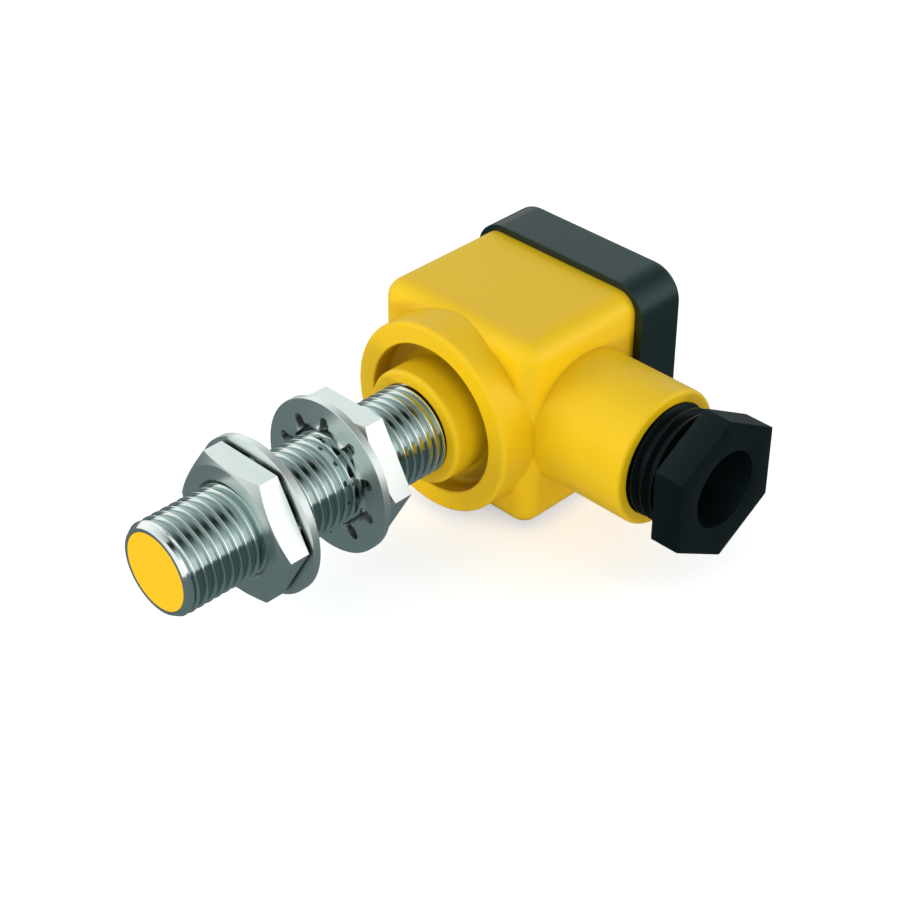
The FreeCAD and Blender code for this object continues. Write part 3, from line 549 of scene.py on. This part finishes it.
def cast_resin(name, colour):
    """Glossy cast resin with a few bubbles under its skin."""
    material, tree, shader = blank_material(name)
    tone, rough = drifting(tree, colour, roughness=0.18, amount=0.25, scale=300.0, spread=0.15)
    bubbles = add_node(tree, "ShaderNodeTexVoronoi", {
        "Vector": object_place(tree), "Scale": 900.0, "Randomness": 1.0})
    set_sockets(tree, shader, {"Coat Weight": 0.4})
    dress(tree, shader, tone, rough, bubbles.outputs["Distance"], strength=0.15, depth=0.02 * MM)
    return material


def finish_node(node, material):
    """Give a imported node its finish."""
    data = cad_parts[node].data
    if not data.materials:
        data.materials.append(material)
    for place in range(len(data.materials)):
        data.materials[place] = material


def lathe_rows(rows, place):
    """Rings of points for (axial, radius) rows, and the faces between them.

    A radius may be a function of the angle.
    """
    points = []
    faces = []
    for axial, radius in rows:
        for step in range(SEGMENTS_PER_TURN):
            angle = 2.0 * math.pi * step / SEGMENTS_PER_TURN
            points.append(place(axial, radius(angle) if callable(radius) else radius, angle))
    for row in range(len(rows) - 1):
        for step in range(SEGMENTS_PER_TURN):
            a = row * SEGMENTS_PER_TURN + step
            b = row * SEGMENTS_PER_TURN + (step + 1) % SEGMENTS_PER_TURN
            faces.append((a, b, b + SEGMENTS_PER_TURN, a + SEGMENTS_PER_TURN))
    return points, faces


def helix_rows(section, pitch, low, high, trim, turn_sense, place):
    """Points and faces of a helical thread between two axial planes.

    section holds (axial, radius) points over one pitch, and trim(axial, radius) gives the radius
    that is left beside the thread's ends.
    """
    points = []
    faces = []
    first_turn = -1
    last_turn = math.ceil((high - low) / pitch) + 1
    steps = (last_turn - first_turn) * SEGMENTS_PER_TURN
    width = len(section)
    kept = []
    for step in range(steps + 1):
        turn = first_turn + step / SEGMENTS_PER_TURN
        angle = turn_sense * 2.0 * math.pi * turn
        for axial, radius in section:
            along = low + pitch * turn + axial
            inside = low < along < high
            along = min(max(along, low), high)
            points.append(place(along, trim(along, radius), angle))
            kept.append(inside)
    for step in range(steps):
        for column in range(width - 1):
            a = step * width + column
            corners = (a, a + 1, a + 1 + width, a + width)
            if any(kept[corner] for corner in corners):
                faces.append(corners)
    return points, faces


def joined_mesh(name, shells):
    """Object from several (points, faces) shells, with doubled points merged."""
    mesh = bpy.data.meshes.new(name)
    points = []
    faces = []
    for shell_points, shell_faces in shells:
        offset = len(points)
        points.extend(shell_points)
        faces.extend(tuple(corner + offset for corner in face) for face in shell_faces)
    mesh.from_pydata(points, [], faces)
    work = bmesh.new()
    work.from_mesh(mesh)
    bmesh.ops.remove_doubles(work, verts=work.verts, dist=MERGE_DISTANCE)
    bmesh.ops.dissolve_degenerate(work, dist=MERGE_DISTANCE, edges=work.edges)
    bmesh.ops.recalc_face_normals(work, faces=work.faces)
    work.to_mesh(mesh)
    work.free()
    mesh.polygons.foreach_set("use_smooth", [True] * len(mesh.polygons))
    mesh.set_sharp_from_angle(angle=SHARP_ANGLE)
    obj = bpy.data.objects.new(name, mesh)
    bpy.context.scene.collection.objects.link(obj)
    return obj


def smooth_step(share):
    """0 below 0, 1 above 1 and a smooth rise between."""
    share = min(max(share, 0.0), 1.0)
    return share * share * (3.0 - 2.0 * share)


def ridge_section(pitch, crest_radius, depth, front_run, edge, crest_run, rear_run):
    """One pitch of a thread: front flank, rounded front edge, crest, rear flank and flat root."""
    root = crest_radius - depth
    points = [(0.0, root), (front_run, crest_radius - edge)]
    for share in EDGE_SHARES:
        angle = share * math.pi / 2
        along = front_run + edge * (1.0 - math.cos(angle))
        points.append((along, crest_radius - edge + edge * math.sin(angle)))
    crest_end = front_run + edge + crest_run
    points.append((crest_end, crest_radius))
    points.append((crest_end + rear_run, root))
    points.append((pitch, root))
    return points


def toothed_washer(sizes, middle, tip, outer):
    """Points and faces of a flat ring with round-ended slots between inner teeth that twist at their tips."""
    half_slot = sizes.slot_width / 2
    half_thickness = sizes.washer_thickness / 2
    half_pitch = math.pi / sizes.tooth_count
    slot_end = tip + sizes.slot_length
    arc_centre = slot_end - half_slot
    straight = [tip + (arc_centre - tip) * step / WASHER_ROWS for step in range(WASHER_ROWS)]
    quarter_turn = [math.pi / 2 * step / WASHER_ROWS for step in range(WASHER_ROWS)]
    curved = [arc_centre + half_slot * math.sin(angle) for angle in quarter_turn]
    radii = straight + curved + [slot_end, (slot_end + outer) / 2, outer - WASHER_EDGE]
    rim = [(outer, half_thickness - WASHER_EDGE), (outer, WASHER_EDGE - half_thickness)]
    profile = ([(radius, half_thickness) for radius in radii] + rim
               + [(radius, -half_thickness) for radius in reversed(radii)])

    def half_angle(radius):
        """Half of the angle that a tooth's sector spans at a radius."""
        beyond = max(radius - arc_centre, 0.0)
        half_gap = math.sqrt(max(half_slot * half_slot - beyond * beyond, 0.0))
        return half_pitch - math.asin(half_gap / radius)

    def twist(radius):
        """Turn about the tooth's own middle line, full at its tip and none past the twist length."""
        return sizes.tooth_twist * smooth_step(1.0 - (radius - tip) / sizes.twist_length)

    points = []
    faces = []
    columns = WASHER_COLUMNS + 1
    around = len(profile)
    for tooth in range(sizes.tooth_count):
        turn = 2.0 * half_pitch * tooth
        outward = Vector((math.cos(turn), 0.0, -math.sin(turn)))
        sideways = Vector((math.sin(turn), 0.0, math.cos(turn)))
        first = len(points)
        for radius, height in profile:
            cosine, sine = math.cos(twist(radius)), math.sin(twist(radius))
            for column in range(columns):
                angle = half_angle(radius) * (2.0 * column / WASHER_COLUMNS - 1.0)
                across = radius * math.sin(angle)
                level = outward * radius * math.cos(angle) + sideways * (across * cosine - height * sine)
                points.append(level + Vector((0.0, middle + across * sine + height * cosine, 0.0)))
        for row in range(around):
            following = (row + 1) % around
            for column in range(WASHER_COLUMNS):
                a = first + row * columns + column
                b = first + following * columns + column
                faces.append((a, a + 1, b + 1, b))
        for row in range(2 * WASHER_ROWS):
            opposite = around - 1 - row
            for column in (0, WASHER_COLUMNS):
                a = first + row * columns + column
                b = first + opposite * columns + column
                faces.append((a, a + columns, b - columns, b))
    return points, faces


class SENSOR_OT_threaded_barrel(bpy.types.Operator):
    """Threaded barrel with its plain rim and a helical thread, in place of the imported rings."""

    bl_idname = "sensor.threaded_barrel"
    bl_label = "Threaded barrel"

    def execute(self, context):
        sizes = context.scene.sensor_sizes
        colours = context.scene.sensor_colours
        crest = BARREL_HIGH.x
        root = crest - sizes.barrel_thread_depth
        bore = RESIN_HIGH.x
        mouth = CAP_HIGH.x + sizes.cap_fit
        rear = BARREL_HIGH.y
        thread_end = INNER_BOSS_FRONT + sizes.thread_end

        def place(axial, radius, angle):
            return Vector((radius * math.cos(angle), axial, radius * math.sin(angle)))

        def trim(axial, radius):
            if axial < sizes.rim_length:
                return crest - sizes.rim_rise * (1.0 - axial / sizes.rim_length)
            start = smooth_step((axial - sizes.rim_length) / BARREL_THREAD_FADE)
            end = smooth_step((thread_end - axial) / BARREL_THREAD_FADE)
            return crest - (crest - radius) * min(start, end)

        section = ridge_section(sizes.barrel_pitch, crest, sizes.barrel_thread_depth,
                                front_run=0.12 * MM, edge=0.03 * MM, crest_run=0.12 * MM,
                                rear_run=0.25 * MM)
        thread = helix_rows(section, sizes.barrel_pitch, 0.0, thread_end, trim, turn_sense=-1, place=place)
        tube = lathe_rows([
            (0.0, crest - sizes.rim_rise), (0.0, mouth), (CAP_LIP_DEPTH, mouth), (CAP_LIP_DEPTH, bore),
            (rear, bore), (rear, crest), (thread_end, crest),
        ], place)
        barrel = joined_mesh("barrel_thread", [thread, tube])
        # The thread's roots get a darker plating colour: painted shade between the ridges.
        shaded = {"Root": root + ROOT_SHADE[0], "Crest": root + ROOT_SHADE[1], "Start": sizes.rim_length}
        barrel.data.materials.append(plated_metal(
            "Barrel plating", colours.plating, roughness=0.13, thread=shaded,
            painted_root_shade=(0.36, 0.465, 0.45)))
        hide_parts("threaded_barrel")
        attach(barrel, "root")
        return {"FINISHED"}


class SENSOR_OT_sensing_cap(bpy.types.Operator):
    """Matt finish of the sensing cap."""

    bl_idname = "sensor.sensing_cap"
    bl_label = "Sensing cap"

    def execute(self, context):
        colour = context.scene.sensor_colours.sensing_face
        finish_node("sensing_cap", moulded_plastic(
            "Sensing face", colour, roughness=0.62, worn_colour=(0.95, 0.66, 0.06),
            edge_radius=0.05 * MM, grain_depth=0.002 * MM, drift=0.012, gloss=0.15))
        return {"FINISHED"}


class SENSOR_OT_lock_hardware(bpy.types.Operator):
    """Plated lock nuts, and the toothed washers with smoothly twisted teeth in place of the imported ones."""

    bl_idname = "sensor.lock_hardware"
    bl_label = "Lock nuts and washers"

    def execute(self, context):
        sizes = context.scene.sensor_sizes
        colours = context.scene.sensor_colours
        nut = plated_metal("Nut plating", colours.plating, roughness=0.27)
        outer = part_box("front_lock_washer")[1].x
        tip = BARREL_HIGH.x + sizes.tip_clearance
        rim = {"Root": outer - RIM_BAND[0], "Crest": outer - RIM_BAND[1], "Start": -1.0}
        # The washers get painted shade in their slots and other recesses, up to about 2.4 mm across.
        washer = plated_metal("Washer plating", colours.spring_steel, roughness=0.32,
                              painted_shade_reach=2.4 * MM, rim=rim, rim_dulling=0.06)
        for side in ("front", "rear"):
            finish_node(side + "_lock_nut", nut)
            low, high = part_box(side + "_lock_washer")
            shell = toothed_washer(sizes, (low.y + high.y) / 2, tip, outer)
            ring = joined_mesh(side + "_toothed_washer", [shell])
            ring.data.materials.append(washer)
            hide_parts(side + "_lock_washer")
            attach(ring, side + "_washer")
        return {"FINISHED"}


class SENSOR_OT_terminal_housing(bpy.types.Operator):
    """Satin finish of the moulded terminal housing."""

    bl_idname = "sensor.terminal_housing"
    bl_label = "Terminal housing"

    def execute(self, context):
        colour = context.scene.sensor_colours.housing
        # Painted shade darkens the housing's groove and other recesses.
        finish_node("terminal_housing", moulded_plastic(
            "Housing plastic", colour, roughness=0.42, worn_colour=(0.82, 0.53, 0.01), edge_radius=0.18 * MM,
            shade=(0.26, 0.165, 0.0), shade_reach=4.0 * MM, gloss=0.42, gloss_tint=(1.0, 0.94, 0.72)))
        return {"FINISHED"}


class SENSOR_OT_rear_cover(bpy.types.Operator):
    """Satin rear cover, its gasket and its screws."""

    bl_idname = "sensor.rear_cover"
    bl_label = "Rear cover"

    def execute(self, context):
        colour = context.scene.sensor_colours.cover
        finish_node("rear_cover", moulded_plastic(
            "Cover plastic", colour, roughness=0.36, worn_colour=(0.02, 0.03, 0.033), edge_radius=0.2 * MM,
            gloss=0.54, gloss_tint=(0.62, 1.0, 1.0)))
        finish_node("cover_gasket", matt_rubber("Gasket rubber", (0.016, 0.016, 0.016)))
        finish_node("cover_screws", plated_metal("Screw plating", (0.62, 0.64, 0.63), roughness=0.3))
        return {"FINISHED"}


class SENSOR_OT_cable_gland(bpy.types.Operator):
    """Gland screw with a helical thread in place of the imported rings, its thrust ring and its seal."""

    bl_idname = "sensor.cable_gland"
    bl_label = "Cable gland"

    def execute(self, context):
        sizes = context.scene.sensor_sizes
        colour = context.scene.sensor_colours.gland
        centre_y = (RING_LOW.y + RING_HIGH.y) / 2
        centre_z = (RING_LOW.z + RING_HIGH.z) / 2
        crest = (RING_HIGH.y - RING_LOW.y) / 2
        bore = crest - GLAND_WALL
        tip = GLAND_LOW.x
        end = GLAND_HIGH.x
        head = end - sizes.gland_head
        corner = (GLAND_HIGH.z - GLAND_LOW.z) / 2
        flat = corner * math.cos(math.pi / 6)
        edge = sizes.gland_edge
        soft = (1.0 - math.cos(math.pi / 4)) * edge

        def place(axial, radius, angle):
            return Vector((axial, centre_y + radius * math.cos(angle), centre_z + radius * math.sin(angle)))

        def hexagon(inset):
            """Radius by angle of the hexagon drawn in by the inset, blunt at its corners."""
            def reach(angle):
                turn = (angle + math.pi / 6) % (math.pi / 3) - math.pi / 6
                return min((flat - inset) / math.cos(turn), corner - inset - 0.5 * edge)
            return reach

        def trim(axial, radius):
            start = smooth_step((axial - tip) / GLAND_THREAD_FADE)
            last = smooth_step((head - axial) / (0.5 * GLAND_THREAD_FADE))
            return crest - (crest - radius) * min(start, last)

        section = ridge_section(sizes.gland_pitch, crest, sizes.gland_thread_depth,
                                front_run=0.42 * MM, edge=0.12 * MM, crest_run=0.14 * MM,
                                rear_run=0.42 * MM)
        thread = helix_rows(section, sizes.gland_pitch, tip, head, trim, turn_sense=1, place=place)
        body = lathe_rows([
            (tip, crest), (tip, bore), (end - edge, bore), (end - soft, bore + soft), (end, bore + edge),
            (end, hexagon(edge)), (end - soft, hexagon(soft)), (end - edge, hexagon(0.0)),
            (head + edge, hexagon(0.0)), (head + soft, hexagon(soft)), (head, hexagon(edge)), (head, crest),
        ], place)
        screw = joined_mesh("gland_compression_screw", [thread, body])
        # Painted shade darkens the recesses of the gland's plastic.
        plastic = moulded_plastic(
            "Gland plastic", colour, roughness=0.42, worn_colour=(0.006, 0.010, 0.012), edge_radius=0.05 * MM,
            shade=(0.0005, 0.001, 0.0015), gloss=0.20, gloss_tint=(0.62, 1.0, 1.0))
        screw.data.materials.append(plastic)
        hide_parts("gland_screw")
        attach(screw, "gland_nut")
        finish_node("gland_thrust_ring", plastic)
        finish_node("gland_seal", matt_rubber("Seal rubber", (0.012, 0.012, 0.012)))
        return {"FINISHED"}


class SENSOR_OT_sensing_parts(bpy.types.Operator):
    """Ferrite core, bobbin and winding behind the sensing face."""

    bl_idname = "sensor.sensing_parts"
    bl_label = "Core and coil"

    def execute(self, context):
        finish_node("ferrite_core", sintered_ferrite("Ferrite", (0.045, 0.046, 0.05)))
        finish_node("coil_bobbin", moulded_plastic(
            "Bobbin plastic", (0.72, 0.72, 0.66), roughness=0.5, worn_colour=(0.8, 0.8, 0.76),
            edge_radius=0.03 * MM))
        finish_node("coil_winding", wound_wire("Enamelled wire", (0.58, 0.20, 0.07)))
        return {"FINISHED"}


class SENSOR_OT_electronics(bpy.types.Operator):
    """Circuit board, its parts and the potting resin in the barrel."""

    bl_idname = "sensor.electronics"
    bl_label = "Electronics"

    def execute(self, context):
        laminate = circuit_laminate("Circuit laminate", (0.012, 0.13, 0.05), (0.03, 0.22, 0.09))
        finish_node("circuit_board", laminate)
        finish_node("terminal_board", laminate)
        finish_node("board_components", moulded_plastic(
            "Chip package", (0.018, 0.018, 0.02), roughness=0.55, worn_colour=(0.05, 0.05, 0.05),
            edge_radius=0.05 * MM))
        finish_node("potting_resin", cast_resin("Potting resin", (0.045, 0.04, 0.026)))
        return {"FINISHED"}


class SENSOR_OT_terminals(bpy.types.Operator):
    """Terminal block with its clamps and screws."""

    bl_idname = "sensor.terminals"
    bl_label = "Terminals"

    def execute(self, context):
        finish_node("terminal_block", moulded_plastic(
            "Block plastic", (0.20, 0.22, 0.22), roughness=0.45, worn_colour=(0.3, 0.32, 0.32),
            edge_radius=0.1 * MM))
        finish_node("terminal_clamps", plated_metal("Clamp brass", (0.78, 0.57, 0.25), roughness=0.3))
        finish_node("terminal_screws", plated_metal("Terminal steel", (0.60, 0.62, 0.62), roughness=0.32))
        return {"FINISHED"}


def floor_material(lift):
    """White floor that keeps the object's shadow, with the last step to white for the camera only."""
    material, tree, total = blank_material("Studio floor", "ShaderNodeAddShader")
    noise = add_node(tree, "ShaderNodeTexNoise", {"Vector": object_place(tree), "Scale": 40.0, "Detail": 3.0})
    tone = add_node(tree, "ShaderNodeMapRange", {
        "Value": noise.outputs["Fac"], "To Min": 0.94, "To Max": 0.96})
    diffuse = add_node(tree, "ShaderNodeBsdfDiffuse", {"Color": tone.outputs["Result"]})
    ray = tree.nodes.new("ShaderNodeLightPath")
    glow = add_math(tree, "MULTIPLY", ray.outputs["Is Camera Ray"], lift)
    light = add_node(tree, "ShaderNodeEmission", {"Color": FLOOR_GLOW, "Strength": glow})
    set_sockets(tree, total, {0: diffuse.outputs[0], 1: light.outputs[0]})
    return material


def card_material(name, near_colour, far_colour, reach):
    """Studio card of one tone towards the front left and another towards the back right."""
    material, tree, light = blank_material(name, "ShaderNodeEmission")
    diagonal = math.sqrt(0.5)
    across = add_node(tree, "ShaderNodeVectorMath", {0: object_place(tree), 1: (diagonal, diagonal, 0.0)},
                      operation="DOT_PRODUCT")
    share = add_node(tree, "ShaderNodeMapRange", {
        "Value": across.outputs["Value"], "From Min": -reach, "From Max": reach})
    tone = blend_colours(tree, share.outputs["Result"], opaque(near_colour), far_colour)
    set_sockets(tree, light, {"Color": tone})
    return material


def faded_card_material(name, fade, reach):
    """Studio card that is dark at its centre and as white as the room at its rim.

    fade holds (share of the reach, brightness) stops.
    """
    material, tree, light = blank_material(name, "ShaderNodeEmission")
    radius = add_node(tree, "ShaderNodeVectorMath", {0: object_place(tree)}, operation="LENGTH")
    share = add_node(tree, "ShaderNodeMapRange", {"Value": radius.outputs["Value"], "From Max": reach})
    ramp = add_node(tree, "ShaderNodeValToRGB", {"Fac": share.outputs["Result"]})
    stops = ramp.color_ramp.elements
    while len(stops) < len(fade):
        stops.new(0.5)
    for stop, (position, level) in zip(stops, fade):
        stop.position = position
        stop.color = (HIGH_CARD_RED * level, level, level, 1.0)
    set_sockets(tree, light, {"Color": ramp.outputs["Color"]})
    return material


def stage_object(name, mesh, material):
    """Object of the stage, which isn't part of the sensor."""
    mesh.materials.append(material)
    obj = bpy.data.objects.new(name, mesh)
    bpy.context.scene.collection.objects.link(obj)
    return obj


def flat_disc(name, radius, centre, material):
    """Round level sheet of the stage."""
    work = bmesh.new()
    bmesh.ops.create_circle(work, cap_ends=True, cap_tris=False, segments=96, radius=radius)
    mesh = bpy.data.meshes.new(name)
    work.to_mesh(mesh)
    work.free()
    disc = stage_object(name, mesh, material)
    disc.location = centre
    return disc


def upright_sheet(name, direction, distance, height, width, material):
    """Upright sheet of the stage that stands at a distance in one direction."""
    ahead = Vector(direction).normalized()
    side = Vector((-ahead.y, ahead.x, 0.0)) * (width / 2)
    foot = ahead * distance
    rise = Vector((0.0, 0.0, height))
    mesh = bpy.data.meshes.new(name)
    mesh.from_pydata([foot - side, foot + side, foot + side + rise, foot - side + rise], [], [(0, 1, 2, 3)])
    return stage_object(name, mesh, material)


def reflect_only(card):
    """Let only reflections see a card."""
    card.visible_camera = False
    card.visible_diffuse = False
    card.visible_shadow = False
    card.visible_transmission = False


def studio_world(sky_level):
    """Even light from all round, plain white where the camera or a reflection sees it."""
    world = bpy.data.worlds.new("Studio")
    tree, light = surface_tree(world, "ShaderNodeBackground", "ShaderNodeOutputWorld")
    ray = tree.nodes.new("ShaderNodeLightPath")
    seen = add_math(tree, "MAXIMUM", ray.outputs["Is Camera Ray"], ray.outputs["Is Glossy Ray"])
    seen = add_math(tree, "MAXIMUM", seen, ray.outputs["Is Transmission Ray"])
    level = add_node(tree, "ShaderNodeMapRange", {"Value": seen, "To Min": sky_level, "To Max": 1.0})
    tint = blend_colours(tree, seen, SKY_TINT, (1.0, 1.0, 1.0))
    set_sockets(tree, light, {"Strength": level.outputs["Result"], "Color": tint})
    bpy.context.scene.world = world


def soft_lamp(name, direction, size, power):
    """Square area lamp that looks at the housing. Reflections show the studio instead of it."""
    data = bpy.data.lights.new(name, "AREA")
    data.shape = "SQUARE"
    data.size = size
    data.energy = power
    data.color = LAMP_COLOUR
    lamp = bpy.data.objects.new(name, data)
    lamp.location = LAMP_TARGET + Vector(direction).normalized() * LAMP_DISTANCE
    lamp.rotation_euler = (LAMP_TARGET - lamp.location).to_track_quat("-Z", "Y").to_euler()
    lamp.visible_glossy = False
    lamp.visible_camera = False
    bpy.context.scene.collection.objects.link(lamp)


def photo_camera():
    """Camera at the photograph's place and angle."""
    data = bpy.data.cameras.new("photo_camera")
    data.lens = CAMERA_LENS_MM
    data.sensor_width = CAMERA_SENSOR_MM
    camera = bpy.data.objects.new("photo_camera", data)
    level = math.cos(CAMERA_ELEVATION)
    ahead = Vector((-math.sin(CAMERA_AZIMUTH) * level, math.cos(CAMERA_AZIMUTH) * level,
                    -math.sin(CAMERA_ELEVATION)))
    camera.location = CAMERA_PLACE
    camera.rotation_euler = ahead.to_track_quat("-Z", "Y").to_euler()
    bpy.context.scene.collection.objects.link(camera)
    bpy.context.scene.camera = camera


class SENSOR_OT_stage(bpy.types.Operator):
    """White floor, even light, three soft lamps, three reflection cards and the photograph's camera."""

    bl_idname = "sensor.stage"
    bl_label = "Studio"

    def execute(self, context):
        stage = context.scene.sensor_stage
        flat_disc("studio_floor", FLOOR_RADIUS, STAGE_CENTRE - FLOOR_DROP, floor_material(stage.floor_lift))
        low_tone = card_material("Low card", LOW_CARD_NEAR, LOW_CARD_FAR, LOW_CARD_REACH)
        high_tone = faded_card_material("High card", HIGH_CARD_FADE, HIGH_CARD_REACH)
        right_tone = card_material("Right card", RIGHT_CARD_TONE, RIGHT_CARD_TONE, RIGHT_CARD_REACH)
        reflect_only(flat_disc("low_card", LOW_CARD_RADIUS, STAGE_CENTRE - LOW_CARD_DROP, low_tone))
        reflect_only(flat_disc("high_card", HIGH_CARD_REACH, HIGH_CARD_PLACE, high_tone))
        reflect_only(upright_sheet("right_card", direction=(0.78, 0.62, 0.0), distance=1.2,
                                   height=0.7, width=0.9, material=right_tone))
        studio_world(stage.sky_level)
        soft_lamp("left_lamp", direction=(-0.62, -0.70, 0.34), size=0.5, power=stage.left_power)
        soft_lamp("right_lamp", direction=(0.78, 0.56, 0.30), size=0.5, power=stage.right_power)
        soft_lamp("front_lamp", direction=(0.70, -0.70, 0.10), size=0.14, power=stage.front_power)
        context.scene.view_settings.view_transform = "Standard"
        photo_camera()
        return {"FINISHED"}


OPERATORS = (
    SENSOR_OT_threaded_barrel,
    SENSOR_OT_sensing_cap,
    SENSOR_OT_lock_hardware,
    SENSOR_OT_terminal_housing,
    SENSOR_OT_rear_cover,
    SENSOR_OT_cable_gland,
    SENSOR_OT_sensing_parts,
    SENSOR_OT_electronics,
    SENSOR_OT_terminals,
    SENSOR_OT_stage,
)


class SENSOR_PT_panel(bpy.types.Panel):
    """The pieces of the sensor in the order in which they are made."""

    bl_idname = "SENSOR_PT_panel"
    bl_label = "Proximity sensor"
    bl_space_type = "VIEW_3D"
    bl_region_type = "UI"
    bl_category = "Sensor"

    def draw(self, context):
        layout = self.layout
        for name, settings in SETTINGS.items():
            box = layout.box()
            for label in settings.__annotations__:
                box.prop(getattr(context.scene, name), label)
        for operator in OPERATORS:
            layout.operator(operator.bl_idname)


SETTINGS = {"sensor_sizes": SensorSizes, "sensor_colours": SensorColours, "sensor_stage": SensorStage}


def register():
    for settings in SETTINGS.values():
        bpy.utils.register_class(settings)
    for operator in OPERATORS:
        bpy.utils.register_class(operator)
    bpy.utils.register_class(SENSOR_PT_panel)
    for name, settings in SETTINGS.items():
        setattr(bpy.types.Scene, name, bpy.props.PointerProperty(type=settings))


def unregister():
    for name in SETTINGS:
        delattr(bpy.types.Scene, name)
    bpy.utils.unregister_class(SENSOR_PT_panel)
    for operator in reversed(OPERATORS):
        bpy.utils.unregister_class(operator)
    for settings in SETTINGS.values():
        bpy.utils.unregister_class(settings)


def main():
    register()
    for operator in OPERATORS:
        area, name = operator.bl_idname.split(".")
        getattr(getattr(bpy.ops, area), name)()


if __name__ == "__main__":
    main()
